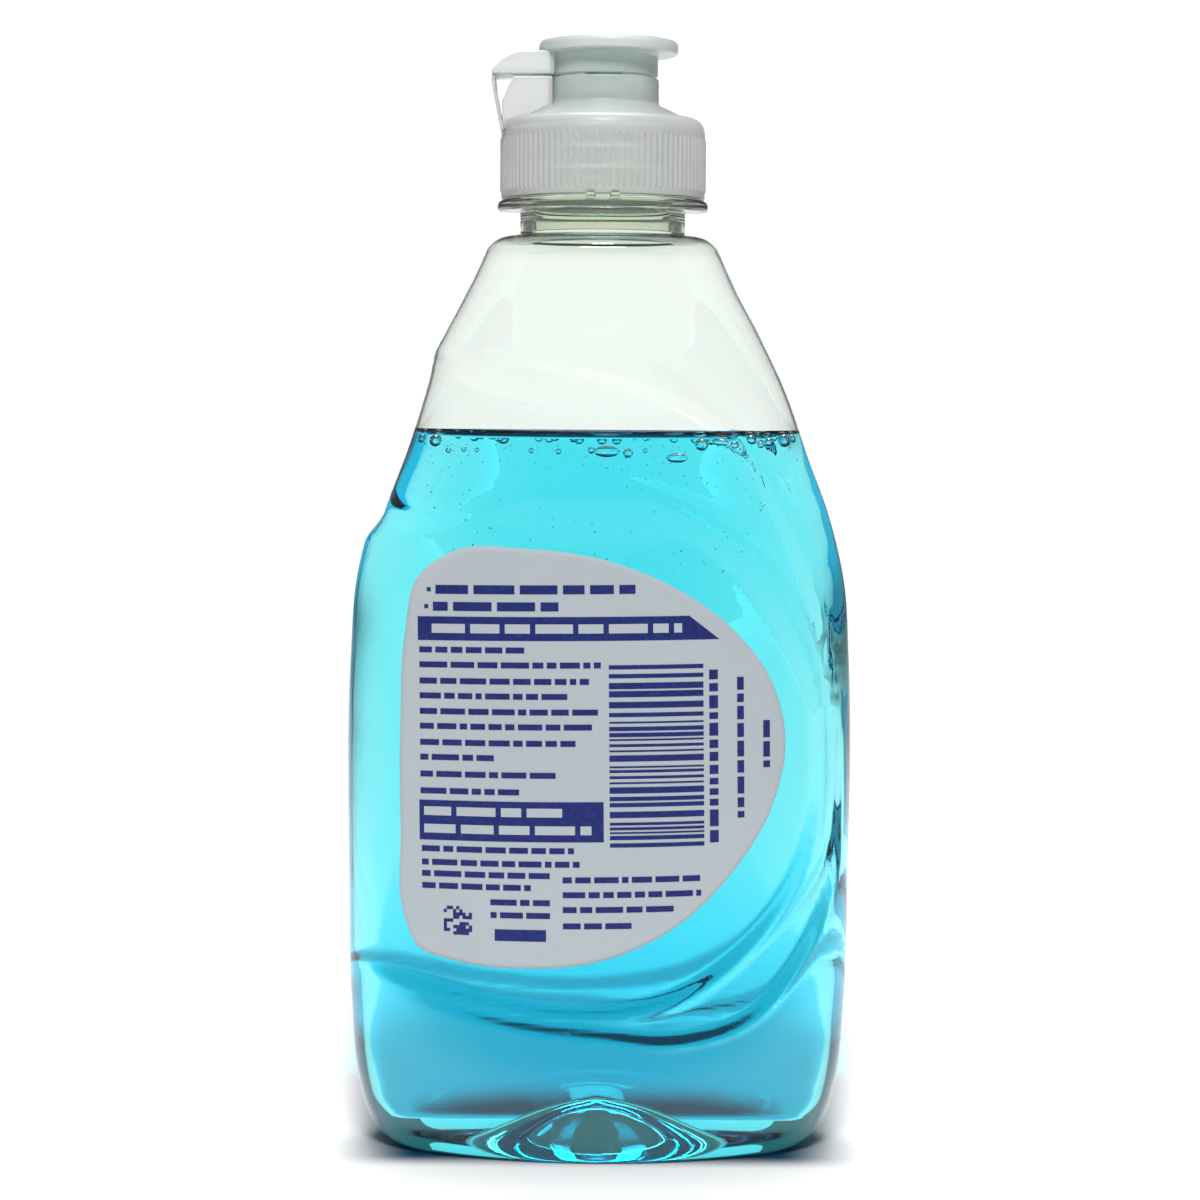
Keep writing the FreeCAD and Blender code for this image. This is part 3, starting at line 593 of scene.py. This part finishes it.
# The free surface: soap against the air above it
free_rows = surface_rows(WALL - 0.03)
free_rows[..., 2] += 0.02
free_mesh = closed_skin("soap_surface", free_rows, None, (0, 0, SOAP_LEVEL + 0.02))
free, tree, output = new_material("soap surface against air")
ripple_place = add_node(tree, "TexCoord")
ripples = add_node(tree, "TexNoise", {"Vector": ripple_place.outputs["Object"], "Scale": 1 / (9 * MM)})
ripple_bump = add_node(tree, "Bump", {"Height": ripples.outputs["Fac"], "Strength": 0.05,
                                      "Distance": 0.5 * MM})
skin = add_node(tree, "BsdfPrincipled", {
    "Base Color": (1.0, 1.0, 1.0, 1.0), "Roughness": 0.0, "IOR": SOAP_IOR, "Transmission Weight": 1.0,
    "Normal": ripple_bump.outputs[0]})
tree.links.new(skin.outputs[0], output.inputs["Surface"])
free_mesh.materials.append(free)
soap_surface = add_object("soap_surface", free_mesh)
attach(soap_surface, "bottle")

# Bubbles: beads of air in the soap, a few big ones at the surface by the wall and many specks just under it
BUBBLE_SIDES = 12
BUBBLE_RINGS = 7
chance = np.random.default_rng(11)


def spheres(name, centres, radii, squash):
    """One mesh of small spheres, each a grid of turn and rise of its points, closed at both poles."""
    turn = np.arange(BUBBLE_SIDES) / BUBBLE_SIDES * 2 * math.pi
    rise = np.linspace(-math.pi / 2, math.pi / 2, BUBBLE_RINGS + 2)[1:-1]
    ring = np.stack([np.cos(rise)[:, None] * np.cos(turn), np.cos(rise)[:, None] * np.sin(turn),
                     np.sin(rise)[:, None] + 0 * turn], -1).reshape(-1, 3)
    unit = np.vstack([ring, [(0, 0, -1), (0, 0, 1)]])
    around, following = np.arange(BUBBLE_SIDES), (np.arange(BUBBLE_SIDES) + 1) % BUBBLE_SIDES
    starts = np.arange(BUBBLE_RINGS - 1)[:, None] * BUBBLE_SIDES
    low, low_next = (starts + around).ravel(), (starts + following).ravel()
    quads = np.stack([low, low_next, low_next + BUBBLE_SIDES, low + BUBBLE_SIDES], -1)
    bottom = np.stack([following, around, np.full(BUBBLE_SIDES, len(ring))], -1)
    last_ring = (BUBBLE_RINGS - 1) * BUBBLE_SIDES
    top = np.stack([around + last_ring, following + last_ring, np.full(BUBBLE_SIDES, len(ring) + 1)], -1)
    shift = (np.arange(len(centres)) * len(unit))[:, None, None]
    faces = ((quads + shift).reshape(-1, 4).tolist() + (bottom + shift).reshape(-1, 3).tolist()
             + (top + shift).reshape(-1, 3).tolist())
    points = centres[:, None] + unit * (radii[:, None] * squash)[:, None, :]
    mesh = bpy.data.meshes.new(name)
    mesh.from_pydata((points.reshape(-1, 3) * MM).tolist(), [], faces)
    mesh.polygons.foreach_set("use_smooth", [True] * len(faces))
    mesh.update()
    return mesh


HALVINGS = 30


def on_broad_face(x, z, inset, side):
    """Points of the outline drawn in by inset, at x and z, on the broad face on that side of Y.

    The normal's angle that gives x is found by halving a quarter turn again and again.
    """
    width, depth = through(z, HEIGHTS, WIDTHS), through(z, HEIGHTS, DEPTHS)
    low, high = np.zeros(x.shape), np.full(x.shape, math.pi / 2)
    for halving in range(HALVINGS):
        middle = (low + high) / 2
        beyond = oval(width, depth, inset, middle)[0] > np.abs(x)
        low, high = np.where(beyond, middle, low), np.where(beyond, high, middle)
    return np.stack([x, side * oval(width, depth, inset, middle)[1], z], -1)


def near_wall(x, z, away, side):
    """Points inside the wall's inner face at x and z, away from it, on the broad face on that side of Y."""
    return on_broad_face(x, z, WALL + recess(x, z) + away, side)


# Big bubbles at the surface: across, how far under the level, and radius
BIG_BUBBLES = np.array([
    (-26.2, 0.1, 0.85), (-24.2, 0.35, 1.1), (-22.4, 1.7, 0.5), (-20.1, 1.5, 0.45), (-18.2, 1.6, 0.4),
    (-10.2, 1.6, 0.45), (-6.2, 1.7, 0.5), (-1.4, 1.5, 0.6), (0.8, 1.7, 2.0), (3.9, 1.9, 0.8), (6.4, 1.5, 0.4),
    (11.0, 2.6, 1.7), (14.6, 0.6, 1.1), (17.4, 0.2, 1.4), (21.9, -0.1, 0.9), (24.6, 0.2, 0.75),
    (26.6, 0.1, 1.2), (27.9, -0.2, 0.8), (23.4, 0.6, 0.6), (19.6, 0.5, 0.7)])
SPECKS = 230
FAR_BUBBLES = 40
big_place = near_wall(BIG_BUBBLES[:, 0], SOAP_LEVEL - BIG_BUBBLES[:, 1], BIG_BUBBLES[:, 2] + 0.1, -1)
# Most specks stay close under the surface, and a few reach 20 mm down
speck_x = chance.uniform(-27, 29, SPECKS)
speck_deep = 0.8 + 20 * chance.random(SPECKS) ** 2.2
speck_radius = chance.uniform(0.05, 0.17, SPECKS)
speck_place = near_wall(speck_x, SOAP_LEVEL - speck_deep, speck_radius + 0.05, -1)
far_x = chance.uniform(-26, 26, FAR_BUBBLES)
far_radius = chance.uniform(0.3, 0.9, FAR_BUBBLES)
far_place = near_wall(far_x, SOAP_LEVEL - 0.2 - far_radius, far_radius + 0.1, 1)
bubble_places = np.vstack([big_place, speck_place, far_place])
bubble_radii = np.concatenate([BIG_BUBBLES[:, 2], speck_radius, far_radius])
# A bubble wider than this lies flat against the wall
WIDE_BUBBLE = 1.3
flattened = np.where(bubble_radii[:, None] > WIDE_BUBBLE, (1.0, 0.4, 0.42), (1.0, 0.9, 0.85))
bubble_mesh = spheres("bubbles", bubble_places, bubble_radii, flattened)
air, tree, output = new_material("air in soap")
inside = add_node(tree, "BsdfPrincipled", {"Base Color": (1.0, 1.0, 1.0, 1.0), "Roughness": 0.0,
                                           "IOR": 1 / SOAP_IOR, "Transmission Weight": 1.0})
tree.links.new(inside.outputs[0], output.inputs["Surface"])
bubble_mesh.materials.append(air)
bubbles = add_object("bubbles", bubble_mesh)
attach(bubbles, "bottle")


# Back label
# A white polypropylene film with rounded sides, stuck to the floor of the panel. Its print is one dark blue
# ink: plain bars in the places of the lines of print, with two solid fields and a block of stripes.

LABEL_WIDTH, LABEL_HEIGHT = 57.1, 61.8
LABEL_MIDDLE = (-0.95, 59.9)
LABEL_GAP, LABEL_THICKNESS = 0.1, 0.15
LABEL_EDGE = np.array([
    (-0.341, 1.0), (0.033, 0.955), (0.398, 0.828), (0.723, 0.618), (0.923, 0.372), (1.0, 0.091),
    (0.944, -0.204), (0.755, -0.508), (0.398, -0.819), (0.033, -0.961), (-0.341, -1.0), (-0.702, -0.977),
    (-0.905, -0.916), (-0.975, -0.773), (-0.996, -0.353), (-1.0, 0.165), (-0.979, 0.586), (-0.912, 0.858),
    (-0.737, 0.981)])
LABEL_SIDES = 240
LABEL_RINGS = 40
# Corners repeated before and after the outline, so the curve through it has no kink where it closes
WRAP = 3


def on_panel(x, z, lift, side):
    """Points on the panel's floor at x and z, lifted off it by lift, on the broad face on that side of Y."""
    return on_broad_face(x, z, panel_depth(x, z) - lift, side)


def film(name, grow, side):
    """Label film: rings from its middle out and back: the outer face, the rounded edge, the inner face."""
    half = np.array([LABEL_WIDTH / 2 + grow, LABEL_HEIGHT / 2 + grow])
    corners = np.vstack([LABEL_EDGE, LABEL_EDGE[:1]])
    wrapped = np.vstack([LABEL_EDGE[-WRAP:], corners, LABEL_EDGE[1:WRAP + 1]]) * half
    along = np.concatenate([[0.0], np.cumsum(np.hypot(*np.diff(wrapped, axis=0).T))])
    places = np.linspace(along[WRAP], along[WRAP + len(LABEL_EDGE)], LABEL_SIDES + 1)[:-1]
    edge = np.stack([through(places, along, wrapped[:, 0]), through(places, along, wrapped[:, 1])], -1)
    shares = (np.arange(1, LABEL_RINGS + 1) / LABEL_RINGS)[:, None, None]
    flat = edge[None] * shares + LABEL_MIDDLE
    outer = on_panel(flat[..., 0], flat[..., 1], LABEL_GAP + LABEL_THICKNESS, side)
    inner = on_panel(flat[..., 0], flat[..., 1], LABEL_GAP, side)
    rim = edge[None] * 1.001 + LABEL_MIDDLE
    bulge = on_panel(rim[..., 0], rim[..., 1], LABEL_GAP + LABEL_THICKNESS / 2, side)
    rows = np.concatenate([outer, bulge, inner[::-1]])
    if side < 0:
        rows = rows[::-1]
    middle = np.array([LABEL_MIDDLE])
    poles = [on_panel(middle[:, 0], middle[:, 1], lift, side)[0]
             for lift in (LABEL_GAP + LABEL_THICKNESS, LABEL_GAP)]
    return closed_skin(name, rows, *(poles if side > 0 else poles[::-1]))


# Coated white film, smooth off the roll: a satin face, faintly cooler where the adhesive took unevenly
label_film, tree, output = new_material("white polypropylene film")
place = add_node(tree, "TexCoord")
patches = add_node(tree, "TexNoise", {"Vector": place.outputs["Object"], "Scale": 1 / (22 * MM),
                                      "Detail": 3.0})
tooth = add_node(tree, "TexNoise", {"Vector": place.outputs["Object"], "Scale": 1 / (0.5 * MM)})
white = add_node(tree, "Mix", {0: patches.outputs["Fac"], 6: linear("AAB3B9"), 7: linear("B4BCC1")},
                 data_type="RGBA")
grain = add_node(tree, "Bump", {"Height": tooth.outputs["Fac"], "Strength": 0.08, "Distance": 0.05 * MM})
satin = add_node(tree, "MapRange", {"Value": tooth.outputs["Fac"], "To Min": 0.32, "To Max": 0.45})
shader = add_node(tree, "BsdfPrincipled", {"Base Color": white.outputs[2], "Roughness": satin.outputs[0],
                                           "IOR": 1.49, "Normal": grain.outputs[0]})
tree.links.new(shader.outputs[0], output.inputs["Surface"])

back_mesh = film("back_label", 0.0, -1)
back_mesh.materials.append(label_film)
back_label = add_object("back_film", back_mesh)
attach(back_label, "bottle")
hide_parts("back_label")

# Printed marks, each as left, right, low, high and the lean of its right end. Lines of print are short bars.
INK_LIFT = 0.05
LINE_HEIGHT = 0.85
LABEL_TURN = math.radians(0.8)
SHORTEST_BAR = 0.6
chance = np.random.default_rng(7)


def word_bars(left, right, z, height, lengths=(0.9, 4.2), gap=0.5):
    """Bars of word length along one line, with gaps between them, out to its right end."""
    bars = []
    x = left
    while x < right - SHORTEST_BAR:
        length = min(chance.uniform(*lengths), right - x)
        bars.append((x, x + length, z - height / 2, z + height / 2, 0.0))
        x += length + gap
    return bars


lines, fields, open_lines = [], [], []
for left, right, z in [(-24.0, 5.5, 85.0), (-24.4, -5.8, 82.5)]:
    lines += word_bars(left, right, z, 1.3, (2.2, 6.5), 0.8)
    lines.append((left - 1.3, left - 0.7, z - 0.3, z + 0.3, 0.0))
for right, z in [(-10.8, 76.1), (0.7, 73.9), (-1.4, 71.5), (-4.6, 69.3), (0.4, 67.0), (-1.0, 64.8),
                 (-3.0, 62.4), (-15.5, 60.2), (-6.4, 57.7), (-11.8, 55.2)]:
    lines += word_bars(-26.5, right, z, LINE_HEIGHT)
for left, right, z in [(-26.4, -3.8, 46.6), (-26.4, -2.6, 44.6), (-26.4, -7.4, 42.9), (-26.4, -10.2, 41.1),
                       (-16.2, -7.4, 38.9), (-16.2, -7.4, 37.0), (-5.5, 14.9, 42.3), (-5.5, 14.9, 40.1),
                       (-5.5, 10.8, 37.9), (-5.5, 5.5, 35.5)]:
    lines += word_bars(left, right, z, LINE_HEIGHT)
lines.append((-15.6, -8.0, 33.2, 34.9, 0.0))
# Two solid fields of four strips each, with open lines left in them where the film shows
FIELD_STRIPS = 4
fields += [(-26.7, 17.8 - 1.1 * (strip + 1), 77.5 + 0.875 * strip, 77.5 + 0.875 * (strip + 1), 1.1)
           for strip in range(FIELD_STRIPS)]
fields += [(-26.7, 0.6, 47.9 + 1.475 * strip, 47.9 + 1.475 * (strip + 1), 0.0)
           for strip in range(FIELD_STRIPS)]
for left, right, z, height in [(-24.6, 12.3, 79.25, 1.35), (-26.0, -4.2, 52.2, 1.3),
                               (-26.0, -1.2, 49.6, 1.3)]:
    open_lines += word_bars(left, right, z, height, (2.0, 6.0), 0.8)
# A block of level stripes of four weights, evenly mixed, with a row of small marks at its right
stripe_low, STRIPES_TOP = 47.1, 74.2
while stripe_low < STRIPES_TOP:
    stripe_height = chance.choice([0.25, 0.4, 0.6, 0.9])
    fields.append((1.5, 15.4, stripe_low, stripe_low + stripe_height, 0.0))
    stripe_low += stripe_height + chance.choice([0.3, 0.5, 0.7])
for column, low, high, width in [(16.9, 47.5, 73.0, 1.3), (20.9, 51.0, 72.4, 1.0), (24.8, 58.3, 65.5, 1.0)]:
    while low < high:
        length = chance.uniform(0.9, 2.6)
        lines.append((column - width / 2, column + width / 2, low, min(low + length, high), 0.0))
        low += length + 0.6
# A small square of dots
dots = np.argwhere(chance.random((9, 9)) < 0.5)
lines += [(-23.2 + 0.47 * i, -22.73 + 0.47 * i, 33.9 + 0.47 * j, 34.37 + 0.47 * j, 0.0)
          for i, j in dots.tolist()]


def ink_mesh(name, boxes, side, lift, thickness, steps):
    """Thin closed bars that follow the label's face: steps along x, with a bar's four corners at each."""
    boxes = np.array(boxes)
    share = np.linspace(0, 1, steps)[None, :, None]
    left, right, low, high, lean = (boxes[:, i][:, None, None] for i in range(5))
    up = np.array([0.0, 1.0, 1.0, 0.0])[None, None, :]
    out = np.array([1.0, 1.0, 0.0, 0.0])[None, None, :] * thickness
    z = low + (high - low) * up + 0 * share
    x = left + (right + lean * (1 - up) - left) * share
    level = z - LABEL_MIDDLE[1]
    turned_x = x * math.cos(LABEL_TURN) - level * math.sin(LABEL_TURN)
    turned_z = x * math.sin(LABEL_TURN) + level * math.cos(LABEL_TURN) + LABEL_MIDDLE[1]
    points = on_panel(turned_x, turned_z, lift + out, side)
    starts = (np.arange(len(boxes))[:, None, None] * steps + np.arange(steps - 1)[None, :, None]) * 4
    corner = np.arange(4)[None, None, :]
    following = (corner + 1) % 4
    sides = np.stack([starts + corner, starts + following, starts + 4 + following, starts + 4 + corner], -1)
    first = np.arange(len(boxes))[:, None] * steps * 4 + np.array([3, 2, 1, 0])[None]
    last = np.arange(len(boxes))[:, None] * steps * 4 + (steps - 1) * 4 + np.array([0, 1, 2, 3])[None]
    faces = np.vstack([sides.reshape(-1, 4), first, last])
    if side < 0:
        faces = faces[:, ::-1]
    mesh = bpy.data.meshes.new(name)
    mesh.from_pydata((points.reshape(-1, 3) * MM).tolist(), [], faces.tolist())
    mesh.update()
    return mesh


# Dark blue flexographic ink: thin, satin, a little lighter where the plate pressed less
ink, tree, output = new_material("dark blue printing ink")
place = add_node(tree, "TexCoord")
speckle = add_node(tree, "TexNoise", {"Vector": place.outputs["Object"], "Scale": 1 / (0.6 * MM),
                                      "Detail": 4.0})
coverage = add_node(tree, "MapRange", {"Value": speckle.outputs["Fac"], "From Min": 0.4, "From Max": 0.75})
blue = add_node(tree, "Mix", {0: coverage.outputs[0], 6: linear("142063"), 7: linear("22317A")},
                data_type="RGBA")
shader = add_node(tree, "BsdfPrincipled", {"Base Color": blue.outputs[2], "Roughness": 0.4, "IOR": 1.5})
tree.links.new(shader.outputs[0], output.inputs["Surface"])
# Short bars need few steps to follow the curved face, and the wide fields many
LINE_STEPS, FIELD_STEPS = 9, 61
on_film = LABEL_GAP + LABEL_THICKNESS + 0.005
on_ink = on_film + INK_LIFT + 0.002
for name, boxes, lift, steps, finish, slot in [
        ("back_print_lines", lines, on_film, LINE_STEPS, ink, "label_ink"),
        ("back_print_fields", fields, on_film, FIELD_STEPS, ink, "label_ink"),
        ("back_print_open_lines", open_lines, on_ink, LINE_STEPS, label_film, "label_film")]:
    print_mesh = ink_mesh(name, boxes, -1, lift, INK_LIFT, steps)
    print_mesh.materials.append(finish)
    printed = add_object(name, print_mesh)
    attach(printed, "bottle")


# Front label
# The same white polypropylene film, a little smaller, stuck to the panel of the hidden broad face. Nothing
# of it shows in the photograph, so it is plain.

FRONT_MARGIN = 3.0
front_mesh = film("front_label", -FRONT_MARGIN, 1)
front_mesh.materials.append(label_film)
front_label = add_object("front_film", front_mesh)
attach(front_label, "bottle")
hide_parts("front_label")


# Closure body
# One injection moulding in natural polypropylene: ribbed skirt, domed deck, tower with its nozzle, and the
# hinge's pedestal. It snaps over the neck's two beads. The plastic is milky and lets light through.

natural_pp, tree, output = new_material("natural polypropylene, moulded")
place = add_node(tree, "TexCoord")
clouds = add_node(tree, "TexNoise", {"Vector": place.outputs["Object"], "Scale": 1 / (6 * MM),
                                     "Detail": 2.0})
tone = add_node(tree, "Mix", {0: clouds.outputs["Fac"], 6: linear("ECEFEC"), 7: linear("F6F8F6")},
                data_type="RGBA")
# Painted blue-green light: near the axis the plastic is tinted in place of light coming up through the soap
across = add_node(tree, "VectorMath", {0: place.outputs["Object"], 1: (1.0, 1.0, 0.0)},
                  operation="MULTIPLY")
radius = add_node(tree, "VectorMath", {0: across.outputs[0]}, operation="LENGTH")
painted_soap_light = add_node(tree, "MapRange", {"Value": radius.outputs["Value"], "From Min": 0.0072,
                                     "From Max": 0.0105, "To Min": 0.8, "To Max": 0.0})
tone = add_node(tree, "Mix", {0: painted_soap_light.outputs[0], 6: tone.outputs[2], 7: linear("DAECEA")},
                data_type="RGBA")
frost = add_node(tree, "MapRange", {"Value": clouds.outputs["Fac"], "To Min": 0.26, "To Max": 0.36})
shader = add_node(tree, "BsdfPrincipled", {
    "Base Color": tone.outputs[2], "Roughness": frost.outputs[0], "IOR": 1.45, "Transmission Weight": 0.56})
tree.links.new(shader.outputs[0], output.inputs["Surface"])

RIBS = 96
RIB_COLUMNS = 6
RIB_RISE = 0.26
# How sharp a rib's crest is, and the share of its rise that the skirt loses between ribs
RIB_SHARPNESS, RIB_SINK = 3, 0.4
RIB_LOW, RIB_HIGH = 143.9, 152.2
SKIRT_RADIUS = 15.35
CLOSURE_SAMPLES = 6
closure_angles = np.arange(RIBS * RIB_COLUMNS)[None, :] / (RIBS * RIB_COLUMNS) * 2 * math.pi
# Corners as radius, height and how far each is cut back for its rounding
closure_corners = np.array([
    (15.2, 143.0, 0), (SKIRT_RADIUS, 143.0, 0.12), (SKIRT_RADIUS, 143.7, 0.2), (SKIRT_RADIUS, 144.2, 0.2),
    (SKIRT_RADIUS, 148.0, 0.5), (SKIRT_RADIUS, 151.9, 0.3), (SKIRT_RADIUS, 155.1, 2.4), (12.6, 155.1, 0.3),
    (8.35, 157.1, 0.5), (8.35, 161.0, 0.35), (7.15, 161.0, 0.35), (7.15, 158.2, 0.5), (5.0, 158.2, 0.4),
    (5.0, 160.3, 0.3), (2.8, 160.3, 0.3), (2.8, 163.2, 0.3), (1.6, 163.2, 0.3), (1.6, 158.2, 0.3),
    (4.2, 156.9, 0.4), (7.15, 156.9, 0.5), (9.75, 153.9, 0.5), (9.75, 150.7, 0.4), (10.65, 150.7, 0.3),
    (10.65, 153.3, 0.3), (13.75, 153.3, 0.5), (13.75, 145.9, 0.2), (13.55, 145.4, 0.15), (13.75, 144.9, 0.2),
    (13.75, 143.0, 0.12), (13.9, 143.0, 0)])
closure_profile = rounded(closure_corners[:, :2], closure_corners[1:-1, 2], CLOSURE_SAMPLES)[1:-1]
closure_rows = turned(closure_profile, closure_angles)
# The ribs stand on the skirt's outside only, and fade out at their two ends
skirt_z = closure_rows[..., 2]
in_band = (smooth_step((skirt_z - RIB_LOW) / 0.3) * smooth_step((RIB_HIGH - skirt_z) / 0.5)
           * (np.hypot(closure_rows[..., 0], closure_rows[..., 1]) > SKIRT_RADIUS - 0.3))
crest = np.abs(np.cos(closure_angles * RIBS / 2)) ** RIB_SHARPNESS
closure_rows[..., :2] *= (1 + RIB_RISE / SKIRT_RADIUS * in_band * (crest - RIB_SINK))[..., None]
closure_mesh = closed_skin("closure_body", closure_rows, loops=True)
closure_mesh.materials.append(natural_pp)
closure = add_object("closure_shell", closure_mesh)
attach(closure, "closure")
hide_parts("closure_body")

HINGE_HALF = 5.0


def across_y(name, corners, cuts, half, edge):
    """Block across Y from a closed XZ profile: rings from end to end, drawn in to round both ends."""
    corners = np.array(corners, float)
    ring = rounded(np.vstack([corners[-1:], corners, corners[:1]]), cuts, 5)[1:-1]
    middle = ring.mean(0)
    bend = np.linspace(0, math.pi / 2, 5)
    y = np.concatenate([-half + edge * (1 - np.cos(bend)), half - edge * (1 - np.cos(bend[::-1]))])
    drawn = edge * np.concatenate([1 - np.sin(bend), 1 - np.sin(bend[::-1])])
    out = ring - middle
    reach = np.hypot(*out.T)
    scale = 1 - drawn[:, None] / reach[None]
    x, z = middle[0] + out[:, 0] * scale, middle[1] + out[:, 1] * scale
    rows = np.stack([x, np.broadcast_to(y[:, None], x.shape), z], -1)
    return closed_skin(name, rows, (middle[0], -half, middle[1]), (middle[0], half, middle[1]))


# Corners run anticlockwise seen along Y from behind, so the faces look outwards
pedestal_mesh = across_y("hinge_pedestal", [(-15.1, 152.9), (-15.1, 157.4), (-13.5, 161.0), (-7.6, 161.0),
                                            (-7.6, 155.4)], [0.3, 0.3, 0.4, 0.3, 0.3], HINGE_HALF, 0.3)
strap_mesh = across_y("lower_strap", [(-15.35, 152.9), (-16.7, 159.9), (-16.7, 161.0), (-16.2, 161.0),
                                      (-16.2, 159.9), (-14.85, 152.9)], [0.05, 0.3, 0.1, 0.1, 0.3, 0.05],
                      HINGE_HALF, 0.1)
for name, mesh in [("hinge_pedestal", pedestal_mesh), ("lower_strap", strap_mesh)]:
    mesh.materials.append(natural_pp)
    made = add_object(name, mesh)
    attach(made, "closure")


# Lid
# Moulded in one with the closure, of the same polypropylene: a disc with a thumb lip over a short cylinder,
# a pin that plugs the nozzle and the hinge's arm. It turns on the thin strap at its left.

# The disc lies a little to the right of its cylinder
DISC_SHIFT = 0.75
DISC_BOTTOM, CYLINDER_RADIUS = 164.2, 8.2
LID_COLUMNS = 240
LID_SAMPLES = 7
lid_profile = rounded(
    [(0.6, 167.1), (4.7, 167.02), (9.4, 166.72), (10.5, 166.6), (10.5, 164.6), (CYLINDER_RADIUS, 164.5),
     (CYLINDER_RADIUS, 161.3), (7.1, 161.3), (7.1, 165.4), (1.3, 165.4), (1.3, 162.0), (0.3, 162.0)],
    [1.0, 0.15, 0.85, 0.6, 0.5, 0.3, 0.3, 0.5, 0.5, 0.4], LID_SAMPLES)[::-1]
lid_angles = np.arange(LID_COLUMNS)[None, :] / LID_COLUMNS * 2 * math.pi
lid_rows = turned(lid_profile, lid_angles)
lid_rows[..., 0] += DISC_SHIFT * (smooth_step((lid_rows[..., 2] - DISC_BOTTOM) / 0.5)
                                  * smooth_step((lid_profile[:, 0] - CYLINDER_RADIUS) / 1.2)[:, None])
lid_mesh = closed_skin("lid", lid_rows, (0, 0, 162.0), (0, 0, 167.1))
arm_mesh = across_y("hinge_arm", [(-16.7, 161.3), (-16.7, 161.9), (-15.2, 163.5), (-12.9, 164.8),
                                  (-7.3, 164.8), (-7.3, 161.3)], [0.1, 0.25, 0.5, 0.6, 0.3, 0.3],
                    HINGE_HALF, 0.35)
for name, mesh in [("lid_disc", lid_mesh), ("hinge_arm", arm_mesh)]:
    mesh.materials.append(natural_pp)
    made = add_object(name, mesh)
    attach(made, "lid")
    if mesh is lid_mesh:
        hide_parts("lid")


# Hinge strap
# The thin film of the same polypropylene, moulded in one with both, that joins the closure's strap to the
# lid's arm. From above its outline is a rounded rectangle.

FILM_LEFT, FILM_RIGHT, FILM_HALF = -16.72, -16.42, 4.7
FILM_RINGS, FILM_COLUMNS = 13, 24
FILM_POWER = 0.4
film_z = np.linspace(160.75, 161.55, FILM_RINGS)
film_turn = np.arange(FILM_COLUMNS) / FILM_COLUMNS * 2 * math.pi
film_middle = (FILM_LEFT + FILM_RIGHT) / 2
film_x = film_middle + ((FILM_RIGHT - FILM_LEFT) / 2 * np.sign(np.cos(film_turn))
                        * np.abs(np.cos(film_turn)) ** FILM_POWER)
film_y = FILM_HALF * np.sign(np.sin(film_turn)) * np.abs(np.sin(film_turn)) ** FILM_POWER
film_rows = np.stack(np.broadcast_arrays(film_x, film_y, film_z[:, None]), -1)
hinge_mesh = closed_skin("hinge_film", film_rows, (film_middle, 0, film_z[0]), (film_middle, 0, film_z[-1]))
hinge_mesh.materials.append(natural_pp)
hinge = add_object("hinge_film", hinge_mesh)
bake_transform(hinge)
